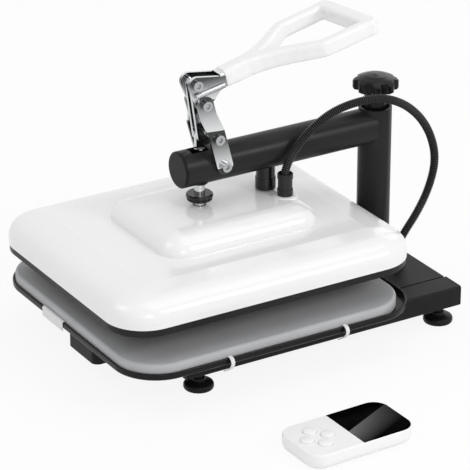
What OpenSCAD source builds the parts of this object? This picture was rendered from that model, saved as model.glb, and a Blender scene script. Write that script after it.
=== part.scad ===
// Swing-away heat press: an arm on a round column carries a heated platen over a padded tray,
// and a cranked lever with a loop handle presses the platen down. A separate control box lies beside it.
// The press frame has its origin on the table under the platen's centre: +X is the operator's right,
// +Y runs back to the column and +Z is up. Lengths are in millimetres.

/* [Base] */
// Overall width over the two side rails
base_w = 283; // [270:1:310]
// Width of a side rail tube
rail_w = 34; // [30:1:38]
// Height of a side rail tube
rail_h = 26; // [25:0.5:30]
// Wall of the rail tubes and of the rear box
steel_wall = 2; // [1.6:0.1:2.4]
// Reach of the rails ahead of the platen centre
rail_front = 108; // [95:1:125]
// Reach of the rails behind the column axis
rail_back = 33; // [32.5:0.5:40]
// Depth of the rear box between the rails
box_l = 93; // [85:1:105]
// Thickness of the plate that closes the rear box below
cover_t = 1.5; // [1:0.1:2]
// Height of the rails above the table
foot_h = 22.6; // [20:0.2:26]
// Diameter of a levelling foot
foot_d = 36; // [30:1:42]
// Diameter of a foot's stud
stud_d = 10; // [8:0.5:11]
// Distance of a foot from the end of its rail
foot_inset = 21; // [18:1:30]
// Width of the channel under the front of the tray
channel_w = 67; // [50:1:80]
// Offset of that channel from the centre line
channel_x = 22; // [10:1:30]
// Height of that channel
channel_h = 25; // [18:0.5:26]

/* [Tray and pad] */
// Width of the lower tray
tray_w = 350; // [335:1:365]
// Length of the lower tray
tray_l = 390; // [370:1:400]
// Corner radius of the tray
tray_r = 55; // [45:1:65]
// Height of the tray's rim
tray_h = 8.4; // [6:0.2:10]
// Thickness of the tray's rim
tray_wall = 3; // [2:0.1:4]
// Thickness of the tray's floor
tray_floor = 2; // [1.6:0.1:3]
// Gap between the pad and the tray's rim at the sides and the front
pad_fit = 0.5; // [0.4:0.1:2]
// Gap between the pad and the tray's rim at the rear
pad_rear_gap = 12.5; // [8:0.5:20]
// Thickness of the pad
pad_h = 17.4; // [16:0.2:19]

/* [Platen] */
// Width of the platen
platen_w = 328; // [310:1:345]
// Length of the platen
platen_l = 400; // [385:1:415]
// Corner radius of the platen
platen_r = 50; // [42:1:60]
// Opening between pad and heating plate when the press is open
press_gap = 32; // [28:0.2:38]
// Thickness of the heating plate
plate_h = 10; // [8:0.2:12]
// Height of the white housing above the heating plate
housing_h = 35; // [33:0.5:38]
// Wall of the white housing and of its centre cover
shell_wall = 3; // [2.4:0.1:3.4]
// Width of the centre cover
crown_w = 164; // [158:1:172]
// Length of the centre cover
crown_l = 212; // [206:1:222]
// Height of the centre cover
crown_h = 23; // [22:0.5:26]
// Free height between the centre cover and the arm
neck_h = 27.7; // [26:0.1:36]

/* [Column and arm] */
// Free distance between the platen's rear edge and the column axis
column_gap = 38; // [36:1:50]
// Outside diameter of the column
column_d = 41; // [39:0.5:46]
// Wall of the column tube
column_wall = 3; // [2.4:0.1:3.6]
// Diameter of the fixed post inside the column
post_d = 30; // [28:0.5:31]
// Height of the column above the arm's axis
column_over = 24; // [23.5:0.5:32]
// Outside diameter of the arm tube
arm_d = 44.5; // [42:0.5:48]
// Wall of the arm tube
arm_wall = 3; // [2.4:0.1:3.6]
// Reach of the arm ahead of the platen centre
arm_reach = 39.4; // [38:0.2:46]
// Diameter of the star knob
knob_d = 56; // [50:1:62]

/* [Press mechanism] */
// Distance of the pressure rod ahead of the platen centre
rod_ahead = 9.5; // [8:0.5:10]
// Diameter of the pressure rod
rod_d = 13; // [12:0.5:14]
// Diameter of the guide rod behind it
guide_d = 14; // [12:0.5:16]
// Distance of the guide rod behind the platen centre
guide_y = 82; // [78:1:86]
// Crank radius between the lever's pivot and its link bolt
crank_r = 27; // [25:0.5:28]
// Crank angle in the open position, from the rear horizontal
crank_angle = 111; // [108:1:116]
// Height of the lever's pivot above the link's lower pin
pin_drop = 43; // [41:0.5:46]
// Diameter of the bolts in the linkage
bolt_d = 8; // [7:0.5:8]
// Diameter of the pressure nut
nut_d = 32.7; // [30:0.1:36]
// Width of a bracket plate
bracket_w = 21; // [18:0.5:22]

/* [Handle] */
// Upward tilt of the handle in the open position
grip_tilt = 13; // [8:0.5:16]
// Roll of the loop about the handle's own length, its right side up
grip_roll = 6.3; // [0:0.1:8]
// Length of the loop grip from its ferrule
grip_l = 187.5; // [180:0.5:205]
// Width of the grip's neck at the ferrule
neck_w = 23; // [21:0.5:25]
// Width of the loop between the middles of its bars
loop_w = 103; // [92:1:110]
// Width of a bar of the loop
bar_w = 15.5; // [13:0.5:17]
// Thickness of a bar of the loop
bar_t = 19.5; // [17:0.5:21]
// Width of the palm bar at the end of the loop
palm_w = 19.5; // [18:0.5:24]
// Diameter of the stiffening bars along the lever's cheeks
stay_d = 6; // [4:0.5:6.5]

/* [Control box] */
// Width of the control box
control_w = 78.5; // [75:0.5:84]
// Length of the control box
control_l = 141; // [136:1:150]
// Height of the control box
control_h = 20; // [19:0.5:24]
// Diameter of a button
button_d = 16; // [13:0.5:17]
// Turn of the control box on the table
control_turn = 1.5; // [0:0.5:10]
// Free distance between the tray and the control box
control_gap = 109; // [100:1:130]

/* [Hidden] */
$fn = 72;
hull_fn = 32;
pad_w = tray_w - 2 * (tray_wall + pad_fit);
pad_l = tray_l - 2 * tray_wall - pad_fit - pad_rear_gap;
pad_r = tray_r - tray_wall - pad_fit;

// Clearances
fit = 0.05;        // radial play of a running shaft
seat_gap = 0.3;    // play between curved or soft faces
side_play = 0.6;   // side play between the flat bars of the linkage

// Heights, from the table upwards
rail_top = foot_h + rail_h;
pad_top = rail_top + tray_floor + pad_h;
plate_z = pad_top + press_gap;
plate_top = plate_z + plate_h;
housing_top = plate_top + housing_h;
crown_top = housing_top + crown_h;
arm_bottom = crown_top + neck_h;
arm_z = arm_bottom + arm_d / 2;
arm_top = arm_z + arm_d / 2;
column_top = arm_z + column_over;
stroke = press_gap - seat_gap;

// Places along the press
column_y = platen_l / 2 + column_gap;
rail_rear = column_y + rail_back;
box_front = rail_rear - box_l;
flange_w = 64;
flange_l = 62;
flange_t = 6;
tray_behind = 10;
tray_y = column_y - flange_l / 2 - tray_behind - tray_l / 2;
pad_y = tray_y - tray_l / 2 + tray_wall + pad_fit + pad_l / 2;
rail_x = base_w / 2 - rail_w / 2;
box_w = base_w - 2 * rail_w;
foot_y = [-rail_front + foot_inset + 2, rail_rear - foot_inset + 2];
rod_y = -rod_ahead;
crown_y = 10;
tray_screw_y = [tray_y - 70, tray_y + 90];

// Pivot post and column
washer_t = 3;
post_z = rail_top + flange_t;
end_cap_t = 3.4;
rod_bush_d = 20;
sleeve_d = 23;
column_z = post_z + washer_t + 0.2;
post_top = column_top - 6;
bush_h = 20;
knob_stud_d = 12;
knob_stud_l = 36;

// Linkage in the plane of the arm: the lever turns on the pivot, the link hangs on the crank bolt
bush_l = 12.2;
tang_l = 15.9;
tang_t = 5.6;
link_t = 4;
link_w = 11;
cheek_t = 4.2;
bracket_t = 4;
link_in = tang_t / 2 + 0.2;
link_out = link_in + link_t;
cheek_in = link_out + side_play;
cheek_out = cheek_in + cheek_t;
bracket_in = cheek_out + side_play;
bracket_low = arm_d / 2 + seat_gap;
pin_z = arm_bottom + bush_l + stroke + tang_l + 0.5;
pivot_z = pin_z + pin_drop;
crank_open = 270 - crank_angle;
link_l = sqrt(pow(crank_r, 2) + pow(pin_drop, 2) - 2 * crank_r * pin_drop * cos(crank_open));
pin_drop_shut = pin_drop + stroke;
crank_shut = acos((pow(crank_r, 2) + pow(pin_drop_shut, 2) - pow(link_l, 2))
    / (2 * crank_r * pin_drop_shut));
lever_travel = crank_open - crank_shut;
link_tilt_shut = asin(crank_r * sin(crank_shut) / link_l);
slot_reach = (arm_top - (pin_z - stroke)) * tan(link_tilt_shut) + link_w / 2 + 3;
slot_w = 2 * link_out + 3;
link_pin_d = 6;
pivot = [rod_y, pivot_z];
crank = [rod_y + crank_r * cos(crank_angle), pivot_z + crank_r * sin(crank_angle)];
pin = [rod_y, pin_z];
bracket_foot = [rod_y + 20, arm_z + 4];
bracket_tilt = atan2(bracket_foot[0] - pivot[0], pivot[1] - bracket_foot[1]);
bracket_l = norm(pivot - bracket_foot);
bracket_mid = (arm_top + 17.8 - bracket_foot[1]) / cos(bracket_tilt);
head_d = 12.4;
head_h = 5;
tang_reach = 50;
ferrule = [rod_y + 31.5, pivot_z + 24];

// Platen
crown_r = 30;
opening_w = 108;
opening_l = 168;
opening_y = 25;
element_d = 8;
board_z = plate_top + seat_gap + element_d + seat_gap;
board_h = 6;
mount_z = board_z + board_h;
mount_t = 5;
mount_w = 150;
mount_l = 190;
mount_y = 15;
spacer_h = housing_top - shell_wall - mount_z - mount_t;
gland_x = 30;
gland_y = 91;
gland_h = 29;
bump_d = 32;
bump_top = crown_top;
nut_z = crown_top + 6.5;
nut_h = 8.5;

// Rear box
gland_base_x = 44;
gland_base_y = column_y + 8;
inlet_x = -58;
inlet_z = rail_top - steel_wall - 11.2;
board_lift = 5;
board_x = 20;
board_y = box_front + box_l / 2 - 8;
inlet_w = 52;
inlet_body_h = 19;
switch_w = 20;
socket_x = -12;
rocker_x = 15;

// Control box
control_x = tray_w / 2 + control_gap + control_w / 2 + 4;
control_y = -12.2;
control_r = 20;
control_split = 11;
control_wall = 2.4;
button_y = -40;
button_pitch = 19;
button_lip = 1.4;
button_rise = 2;

// The part's origin is the middle of its outline on the table
strap_t = 1.2;
strap_out = 6.5;
outline_left = -tray_w / 2 - seat_gap - strap_out;
outline_right = control_x + (control_w / 2 - control_r) * cos(control_turn)
    + (control_l / 2 - control_r) * sin(control_turn) + control_r;
cap_t = 2.5;
outline_rear = rail_rear + cap_t;
outline_front = -platen_l / 2;
centre_x = (outline_left + outline_right) / 2;
centre_y = (outline_front + outline_rear) / 2;

// Route of the conduit, from inside the platen to the rear box
conduit_d = 10.5;
conduit_bore = 7;
conduit_pitch = 2.4;
conduit_rib = 0.55;
conduit_sides = 8;
conduit_route = [
    [30, 91, 140], [30, 91, 160], [30, 91, 180], [30, 91, 198], [31, 98, 216], [32, 111, 233],
    [34, 128, 249], [36, 147, 261], [38, 168, 268], [40, 191, 271], [41, 213, 270], [42, 234, 264],
    [42, 255, 252], [43, 273, 235], [43, 287, 214], [44, 295, 191], [44, 297, 170], [44, 293, 149],
    [44, 284, 127], [44, 271, 106], [44, 257, 88], [44, 248, 74], [44, 246, 62], [44, 246, 52]];

// Rectangle with round corners, flat on the XY plane
module rounded(w, l, r) {
    square([w - 2 * r, l], center = true);
    square([w, l - 2 * r], center = true);
    for (sx = [-1, 1], sy = [-1, 1])
        translate([sx * (w / 2 - r), sy * (l / 2 - r)]) circle(r);
}

// Slab with round corners, standing on its own Z
module slab(w, l, r, h) {
    linear_extrude(h) rounded(w, l, r);
}

// Outline drawn across and up, pushed from y0 back to y1
module along_y(y0, y1) {
    translate([0, y1, 0]) rotate([90, 0, 0]) linear_extrude(y1 - y0) children();
}

// Outline drawn back and up, pushed from x0 to x1
module along_x(x0, x1) {
    translate([x0, 0, 0]) rotate([90, 0, 90]) linear_extrude(x1 - x0) children();
}

// Round bar along X at a place given back and up
module bar_x(d, x0, x1, at) {
    translate([x0, at[0], at[1]]) rotate([0, 90, 0]) cylinder(d = d, h = x1 - x0);
}

// Flat bar between two round ends, in the plane of its outline
module strap_outline(p, rp, q, rq) {
    d = norm(q - p);
    a = atan2(q[1] - p[1], q[0] - p[0]);
    b = acos((rp - rq) / d);
    translate(p) circle(rp);
    translate(q) circle(rq);
    polygon([p + rp * [cos(a + b), sin(a + b)], q + rq * [cos(a + b), sin(a + b)],
        q + rq * [cos(a - b), sin(a - b)], p + rp * [cos(a - b), sin(a - b)]]);
}

// Socket head on a bolt along X, with its hexagon sunk into the outer face
module socket_head(x, at, side) {
    difference() {
        bar_x(head_d, min(x, x + side * head_h), max(x, x + side * head_h), at);
        translate([x + side * (head_h - 2.5), at[0], at[1]])
            rotate([0, side * 90, 0]) cylinder(d = 6.9, h = 3, $fn = 6);
    }
}

// Solid with round corners and a shaped edge: the edge climbs through points of [inset, height]
module pillow(w, l, r, edge) {
    n = len(edge) - 1;
    side = [for (k = edge) [r - k[0], k[1]]];
    back = [for (k = [n : -1 : 0]) side[k]];
    long = l / 2 - r;
    wide = w / 2 - r;
    along_y(-long, long)
        polygon(concat([for (p = side) [wide + p[0], p[1]]], [for (p = back) [-wide - p[0], p[1]]]));
    along_x(-wide, wide)
        polygon(concat([for (p = side) [long + p[0], p[1]]], [for (p = back) [-long - p[0], p[1]]]));
    for (k = [0 : 3])
        translate([(k == 0 || k == 3 ? 1 : -1) * wide, (k < 2 ? 1 : -1) * long, 0]) rotate([0, 0, 90 * k])
            rotate_extrude(angle = 90) polygon(concat([[0, side[n][1]], [0, side[0][1]]], side));
}

// The same edge one wall further in and lower, for the hollow of a lid
function hollow(edge, r, wall) = concat([[0, edge[0][1] - 1]],
    [for (k = edge) if (k[1] - wall > 0) [min(k[0], r - wall - 1), k[1] - wall]]);

// Moves the press frame so that the part's outline is centred on the origin
module seat() {
    translate([-centre_x, -centre_y, 0]) children();
}

module side_rail(side) {
    translate([side * rail_x, 0, foot_h]) difference() {
        union() {
            along_y(-rail_front, rail_rear) difference() {
                translate([0, rail_h / 2]) rounded(rail_w, rail_h, 3);
                translate([0, rail_h / 2]) rounded(rail_w - 2 * steel_wall, rail_h - 2 * steel_wall, 1);
            }
            for (y = foot_y)
                translate([0, y, steel_wall / 2]) cylinder(d = stud_d + 9, h = 9, $fn = 6);
        }
        for (y = foot_y)
            translate([0, y, -1]) cylinder(d = stud_d + 2 * fit, h = 14);
        for (y = tray_screw_y)
            translate([0, y, rail_h - steel_wall - 1]) cylinder(d = 4 + 2 * fit, h = steel_wall + 2);
    }
}

module side_rail_left() { color("#2b2b2d") side_rail(-1); }
module side_rail_right() { color("#2b2b2d") side_rail(1); }

// Plastic plugs in the four open ends of the rails
module rail_end_caps() {
    color("#1f1f21")
        for (sx = [-1, 1], rear = [0, 1])
            translate([sx * rail_x, rear ? rail_rear : -rail_front, foot_h + rail_h / 2])
                rotate([0, 0, rear ? 0 : 180]) {
                    along_y(0, cap_t) rounded(rail_w, rail_h, 3);
                    along_y(-10, 0.5)
                        rounded(rail_w - 2 * steel_wall - 2 * fit, rail_h - 2 * steel_wall - 2 * fit, 1);
                }
}

cover_screw_x = box_w / 2 - steel_wall - 4;
cover_screw_y = [box_front + steel_wall + 4, rail_rear - steel_wall - 4];
flange_screw = [flange_w / 2 - 7, flange_l / 2 - 7];

module rear_crossbox() {
    box_z = foot_h + cover_t;
    inner_h = rail_top - steel_wall - box_z;
    color("#2b2b2d") difference() {
        union() {
            difference() {
                translate([-box_w / 2, box_front, box_z]) cube([box_w, box_l, rail_top - box_z]);
                translate([-box_w / 2 + steel_wall, box_front + steel_wall, box_z - 1])
                    cube([box_w - 2 * steel_wall, box_l - 2 * steel_wall, inner_h + 1]);
            }
            for (sx = [-1, 1], y = cover_screw_y)
                translate([sx * cover_screw_x, y, box_z]) cylinder(d = 9, h = inner_h + 1);
        }
        for (sx = [-1, 1], y = cover_screw_y)
            translate([sx * cover_screw_x, y, box_z - 1]) cylinder(d = 4 + 2 * fit, h = 12);
        for (sx = [-1, 1], sy = [-1, 1])
            translate([sx * flange_screw[0], column_y + sy * flange_screw[1], rail_top - steel_wall - 1])
                cylinder(d = 6 + 2 * fit, h = steel_wall + 2);
        translate([gland_base_x, gland_base_y, rail_top - steel_wall - 1])
            cylinder(d = 15 + 2 * fit, h = steel_wall + 2);
        translate([inlet_x, 0, inlet_z]) along_y(rail_rear - steel_wall - 1, rail_rear + 1)
            square([inlet_w + 2 * fit, inlet_body_h + 2 * fit], center = true);
    }
}

module box_cover() {
    board_post = [34, 22];
    color("#2b2b2d") difference() {
        union() {
            translate([-box_w / 2, box_front, foot_h]) cube([box_w, box_l, cover_t]);
            for (sx = [-1, 1], sy = [-1, 1])
                translate([board_x + sx * board_post[0], board_y + sy * board_post[1], foot_h])
                    cylinder(d = 7, h = cover_t + board_lift);
        }
        for (sx = [-1, 1], y = cover_screw_y)
            translate([sx * cover_screw_x, y, foot_h - 1]) cylinder(d = 4 + 2 * fit, h = cover_t + 2);
    }
}

// Open-bottomed channel that carries the front of the tray, with round front corners
module front_channel() {
    front = tray_y - tray_l / 2 + 9;
    long = box_front - front;
    corner = 9;
    color("#2b2b2d") translate([channel_x, 0, rail_top - channel_h]) difference() {
        union() {
            translate([0, front + long / 2, 0]) slab(channel_w, long, corner, channel_h);
            translate([-channel_w / 2, box_front - 2 * corner, 0]) cube([channel_w, 2 * corner, channel_h]);
        }
        translate([0, front + long / 2, -steel_wall])
            slab(channel_w - 2 * steel_wall, long - 2 * steel_wall, corner - steel_wall, channel_h);
    }
}

// Pan-head screw with its head on the underside of z
module screw_down(d, head, head_t, l) {
    cylinder(d = head, h = head_t);
    translate([0, 0, -l]) cylinder(d = d, h = l + 0.2);
}

module base_screws() {
    color("#8a8c90") {
        for (sx = [-1, 1], y = cover_screw_y)
            translate([sx * cover_screw_x, y, foot_h]) rotate([180, 0, 0]) screw_down(4, 8, 2, 10);
        for (sx = [-1, 1], sy = [-1, 1])
            translate([sx * flange_screw[0], column_y + sy * flange_screw[1], post_z])
                difference() {
                    screw_down(6, 10, 5, flange_t + steel_wall + 3);
                    translate([0, 0, 2.5]) cylinder(d = 5.8, h = 3, $fn = 6);
                }
        for (sx = [-1, 1], y = tray_screw_y)
            translate([sx * rail_x, y, rail_top + tray_floor - 1.2]) screw_down(4, 9, 1, 8);
    }
}

// Levelling foot: a round puck, a waist and a stud that runs up into the rail
module foot(sx, y) {
    r = foot_d / 2;
    color("#232325") translate([sx * rail_x, y, 0]) rotate_extrude()
        polygon([[0, 0], [r - 2.5, 0], [r - 0.8, 0.8], [r, 2.6], [r, 5.4], [r - 0.9, 7.4], [r - 3, 8.8],
            [r - 8, 10], [r - 10, 11.6], [r - 10.6, 14], [stud_d / 2, 14],
            [stud_d / 2, foot_h + rail_h - 8], [0, foot_h + rail_h - 8]]);
}
module foot_front_left() { foot(-1, foot_y[0]); }
module foot_front_right() { foot(1, foot_y[0]); }
module foot_rear_left() { foot(-1, foot_y[1]); }
module foot_rear_right() { foot(1, foot_y[1]); }

module lower_tray() {
    inner_w = tray_w - 2 * tray_wall;
    inner_l = tray_l - 2 * tray_wall;
    color("#1d1d1f") translate([0, tray_y, rail_top]) difference() {
        union() {
            slab(tray_w - 2, tray_l - 2, tray_r - 1, tray_h);
            translate([0, 0, 1]) slab(tray_w, tray_l, tray_r, tray_h - 2);
        }
        translate([0, 0, tray_floor]) slab(inner_w, inner_l, tray_r - tray_wall, tray_h);
        for (sx = [-1, 1], y = tray_screw_y)
            translate([sx * rail_x, y - tray_y, 0]) {
                translate([0, 0, -1]) cylinder(d = 4 + 2 * fit, h = tray_floor + 2);
                translate([0, 0, tray_floor - 1.2]) cylinder(d = 9 + 2 * fit, h = tray_floor);
            }
    }
}

module silicone_pad() {
    color("#8f9194") translate([0, pad_y, rail_top + tray_floor])
        pillow(pad_w, pad_l, pad_r, [[1, 0], [0, 2], [0, pad_h - 4.9], [0.8, pad_h - 2.8], [2.6, pad_h - 1],
            [5.5, pad_h]]);
}

strap_y = [tray_y - 0.19 * tray_l, tray_y + 0.21 * tray_l];

// Outer line of a band, from the rim's top outwards and back under the tray
band_line = [[-tray_wall, 1.4], [0.4, 1.6], [4, 0.2], [strap_out, -3.4], [strap_out - 0.7, -8],
    [strap_out - 4.9, -13.4], [-5.4, -18.6], [-12, -22.6]];
band_last = len(band_line) - 1;
function band_run(k) = band_line[min(k + 1, band_last)] - band_line[max(k - 1, 0)];
function band_inner(k) = band_line[k] + strap_t / norm(band_run(k)) * [band_run(k)[1], -band_run(k)[0]];

// White bands that come out between pad and rim, bow outwards and curl in below the tray
module pad_straps() {
    color("#e9e9e9")
        for (sx = [-1, 1], y = strap_y)
            scale_x(sx) translate([tray_w / 2 + seat_gap, 0, rail_top + tray_h + seat_gap])
                along_y(y - 2.4, y + 2.4)
                    polygon(concat(band_line, [for (k = [band_last : -1 : 0]) band_inner(k)]));
}

// Right side as drawn, or its mirror image on the left
module scale_x(side) {
    if (side > 0) children();
    else mirror([1, 0, 0]) children();
}

// Blank white tag folded over the front rim
module rim_label() {
    front = tray_y - tray_l / 2 - seat_gap;
    rim_z = rail_top + tray_h + seat_gap;
    label_t = 0.8;
    label_x = -29;
    label_w = 50;
    color("#f2f2f2") along_x(label_x - label_w / 2, label_x + label_w / 2)
        polygon([[front, rim_z + label_t], [front + tray_wall, rim_z + label_t],
            [front + tray_wall, rim_z], [front, rim_z], [front, rail_top - 3],
            [front - label_t, rail_top - 3], [front - label_t, rim_z]]);
}

module column_flange() {
    color("#2b2b2d") translate([0, column_y, rail_top]) difference() {
        slab(flange_w, flange_l, 8, flange_t);
        for (sx = [-1, 1], sy = [-1, 1])
            translate([sx * flange_screw[0], sy * flange_screw[1], -1])
                cylinder(d = 6 + 2 * fit, h = flange_t + 2);
    }
}

// Solid post, bored at the top for the stud of the star knob
module pivot_post() {
    color("#9a9ca0") translate([0, column_y, 0]) difference() {
        translate([0, 0, post_z]) cylinder(d = post_d, h = post_top - post_z);
        translate([0, 0, post_top - knob_stud_l - 4])
            cylinder(d = knob_stud_d + 2 * fit, h = knob_stud_l + 5);
    }
}

module thrust_washer() {
    color("#c9b36a") translate([0, column_y, post_z]) difference() {
        cylinder(d = column_d, h = washer_t);
        translate([0, 0, -1]) cylinder(d = post_d + 2 * seat_gap, h = washer_t + 2);
    }
}

// Board with its transformer, relay and terminal block
module control_board() {
    z = foot_h + cover_t + board_lift;
    color("#2e6b3a") translate([board_x, board_y, z]) {
        translate([-40, -28, 0]) cube([80, 56, 1.6]);
        translate([-34, -22, 1]) cube([26, 22, 13]);
        translate([2, -20, 1]) cube([28, 13, 12]);
        translate([-20, 8, 1]) cube([44, 10, 10]);
    }
}

// Mains socket and switch frame in one moulding, let into the rear wall of the box
module power_inlet() {
    color("#19191a") translate([inlet_x, rail_rear, inlet_z]) difference() {
        union() {
            along_y(0, 2) rounded(inlet_w + 5, inlet_body_h + 2.6, 2);
            along_y(-24, 0.5) square([inlet_w, inlet_body_h], center = true);
        }
        translate([socket_x, 0, 0]) along_y(-16, 3) difference() {
            square([25, 16], center = true);
            for (sx = [-1, 1])
                translate([sx * 12.5, -8]) rotate(45) square(4, center = true);
        }
        translate([rocker_x, 0, 0]) along_y(-12, 3) square([switch_w, 13], center = true);
        translate([rocker_x, -5, -inlet_body_h]) cylinder(d = 4 + 2 * fit, h = 2 * inlet_body_h);
    }
    color("#c8b070") translate([inlet_x + socket_x, rail_rear, inlet_z])
        for (p = [[-7, -2], [0, 2.5], [7, -2]])
            translate([p[0], 0, p[1]]) along_y(-17, -7) square([2, 4], center = true);
}

// Rocker of the mains switch, tipped to one side about its upright pin
module rocker_switch() {
    w = switch_w - 1.6;
    color("#7d1f1c") translate([inlet_x + rocker_x, rail_rear - 5, inlet_z]) rotate([0, 0, -8]) {
        intersection() {
            translate([-w / 2, -4.4, -6]) cube([w, 9.4, 12]);
            translate([0, 16, -7]) difference() {
                translate([-w, -21, 0]) cube([2 * w, 16, 14]);
                translate([0, 0, -1]) cylinder(r = 12.2, h = 16);
            }
        }
        translate([0, 0, -inlet_body_h / 2 + 0.5]) cylinder(d = 4, h = inlet_body_h - 1);
    }
}

// Upright gland on the rear box for the lower end of the conduit
module base_gland() {
    bore = conduit_d + 1;
    color("#1b1b1d") translate([gland_base_x, gland_base_y, rail_top]) difference() {
        union() {
            cylinder(d = 20, h = 6, $fn = 6);
            cylinder(d = 17, h = 15);
            translate([0, 0, 11]) cylinder(d = 18, h = 4);
            translate([0, 0, -8]) cylinder(d = 15, h = 9);
        }
        translate([0, 0, -9]) cylinder(d = bore, h = 30);
    }
}

// Smooth curve through the route's points
function curve(a, b, c, d, t) = 0.5 * (2 * b + (c - a) * t + (2 * a - 5 * b + 4 * c - d) * t * t
    + (3 * b - a - 3 * c + d) * t * t * t);
function at_end(route, k) = route[min(max(k, 0), len(route) - 1)];
route_steps = conduit_pitch / 2;
conduit_line = [for (k = [0 : len(conduit_route) - 2])
    let (n = round(norm(conduit_route[k + 1] - conduit_route[k]) / route_steps))
    for (j = [0 : n - 1])
        curve(at_end(conduit_route, k - 1), conduit_route[k], conduit_route[k + 1],
            at_end(conduit_route, k + 2), j / n),
    conduit_route[len(conduit_route) - 1]];
conduit_n = len(conduit_line);
function sum_to(list, k) = k < 0 ? 0 : list[k] + sum_to(list, k - 1);
conduit_steps = [for (k = [1 : conduit_n - 1]) norm(conduit_line[k] - conduit_line[k - 1])];
conduit_length = sum_to(conduit_steps, conduit_n - 2);
conduit_self_gap = min([for (i = [0 : 8 : conduit_n - 1], j = [i + 60 : 8 : conduit_n - 1])
    norm(conduit_line[i] - conduit_line[j])]) - conduit_d;
conduit_ribs = floor(conduit_n / 2);
echo(conduit_length = conduit_length, conduit_ribs = conduit_ribs, conduit_self_gap = conduit_self_gap);

// Ring of points square to the curve
function ring(k, r) = let (
        run = at_end(conduit_line, k + 1) - at_end(conduit_line, k - 1),
        t = run / norm(run),
        side = [1, 0, 0] - t[0] * t,
        u = side / norm(side),
        v = cross(t, u))
    [for (s = [0 : conduit_sides - 1])
        conduit_line[k] + r * (cos(360 * s / conduit_sides) * u + sin(360 * s / conduit_sides) * v)];
function sleeve_faces(rings, first, out) = [for (k = [0 : rings - 2], s = [0 : conduit_sides - 1])
    let (a = first + k * conduit_sides, b = a + conduit_sides, n = (s + 1) % conduit_sides)
    each out ? [[a + s, b + s, b + n], [a + s, b + n, a + n]]
        : [[a + s, b + n, b + s], [a + s, a + n, b + n]]];

// Armoured hose: ribs outside, a smooth bore inside
module conduit() {
    bore_step = 8;
    bore_rings = [for (k = [0 : bore_step : conduit_n - 2]) k, conduit_n - 1];
    outer = [for (k = [0 : conduit_n - 1])
        each ring(k, conduit_d / 2 - (k % 2 == 0 ? 0 : conduit_rib))];
    inner = [for (k = bore_rings) each ring(k, conduit_bore / 2)];
    first = len(outer);
    last = conduit_n - 1;
    inner_last = len(bore_rings) - 1;
    ends = [for (s = [0 : conduit_sides - 1])
        let (n = (s + 1) % conduit_sides, p = last * conduit_sides, q = first + inner_last * conduit_sides)
        each [[s, n, first + n], [s, first + n, first + s],
            [p + s, q + n, p + n], [p + s, q + s, q + n]]];
    color("#2a2a2c") polyhedron(concat(outer, inner),
        concat(sleeve_faces(conduit_n, 0, true), sleeve_faces(len(bore_rings), first, false), ends));
}

// Lobed clamping knob with a domed top; its stud runs down into the post
module star_knob() {
    skirt_z = column_top + 22.5;
    top_z = skirt_z + 19;
    r = knob_d / 2;
    lobes = 8;
    lobe_r = 5.8;
    color("#1c1c1e") translate([0, column_y, 0]) {
        intersection() {
            translate([0, 0, skirt_z]) linear_extrude(top_z - skirt_z) {
                circle(r - 5);
                for (k = [0 : lobes - 1])
                    rotate(13.9 + 360 * k / lobes) translate([r - lobe_r, 0]) circle(lobe_r);
            }
            rotate_extrude() polygon([[0, skirt_z + 4], [10, skirt_z + 4], [12, skirt_z], [r - 2, skirt_z],
                [r + 1, skirt_z + 2.4], [r + 1, skirt_z + 9.6], [r - 2, skirt_z + 12],
                [r - 8, skirt_z + 15], [r - 16, skirt_z + 17.6], [0, top_z]]);
        }
        translate([0, 0, post_top + seat_gap]) cylinder(d = 27.5, h = skirt_z + 5 - post_top);
        translate([0, 0, post_top - knob_stud_l]) cylinder(d = knob_stud_d, h = knob_stud_l + 1);
    }
}

module column_tube() {
    color("#262628") translate([0, column_y, column_z]) difference() {
        cylinder(d = column_d, h = column_top - column_z);
        translate([0, 0, -1]) cylinder(d = column_d - 2 * column_wall, h = column_top - column_z + 2);
    }
}

module column_bushes() {
    color("#c9b36a")
        for (z = [column_z + 1, post_top - bush_h - 2])
            translate([0, column_y, z]) difference() {
                cylinder(d = column_d - 2 * column_wall - 2 * fit, h = bush_h);
                translate([0, 0, -1]) cylinder(d = post_d + 2 * fit, h = bush_h + 2);
            }
}

// Tube of the arm, coped to the column and cut for the rod, the link, the guide and the cross bolt
module arm_tube() {
    color("#262628") difference() {
        translate([0, -arm_reach + end_cap_t, arm_z]) rotate([-90, 0, 0])
            cylinder(d = arm_d, h = column_y - 8 + arm_reach - end_cap_t);
        translate([0, -arm_reach, arm_z]) rotate([-90, 0, 0])
            cylinder(d = arm_d - 2 * arm_wall, h = column_y + arm_reach);
        translate([0, column_y, arm_bottom - 10]) cylinder(d = column_d + 2 * fit, h = arm_d + 20);
        translate([0, rod_y, arm_bottom - 1]) cylinder(d = rod_bush_d + 2 * fit, h = arm_d / 2);
        translate([0, guide_y, arm_bottom - 1]) cylinder(d = sleeve_d + 2 * fit, h = arm_d / 2);
        translate([0, 0, arm_z]) linear_extrude(arm_d)
            translate([-slot_w / 2, rod_y - slot_reach]) square([slot_w, slot_reach + slot_w / 2]);
        bar_x(bolt_d + 2 * fit, -arm_d, arm_d, bracket_foot);
    }
}

module arm_end_cap() {
    plug_d = arm_d - 2 * arm_wall - 2 * fit;
    color("#1d1d1f") translate([0, -arm_reach, arm_z]) rotate([-90, 0, 0]) rotate_extrude()
        polygon([[0, 0], [arm_d / 2 - 1.6, 0], [arm_d / 2, 1.6], [arm_d / 2, end_cap_t],
            [plug_d / 2, end_cap_t], [plug_d / 2, end_cap_t + 7], [0, end_cap_t + 7]]);
}

module rod_bush() {
    color("#c9b36a") translate([0, rod_y, arm_bottom + 0.1]) difference() {
        cylinder(d = rod_bush_d, h = bush_l - 0.1);
        translate([0, 0, -1]) cylinder(d = rod_d + 2 * fit, h = bush_l + 2);
    }
}

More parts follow.
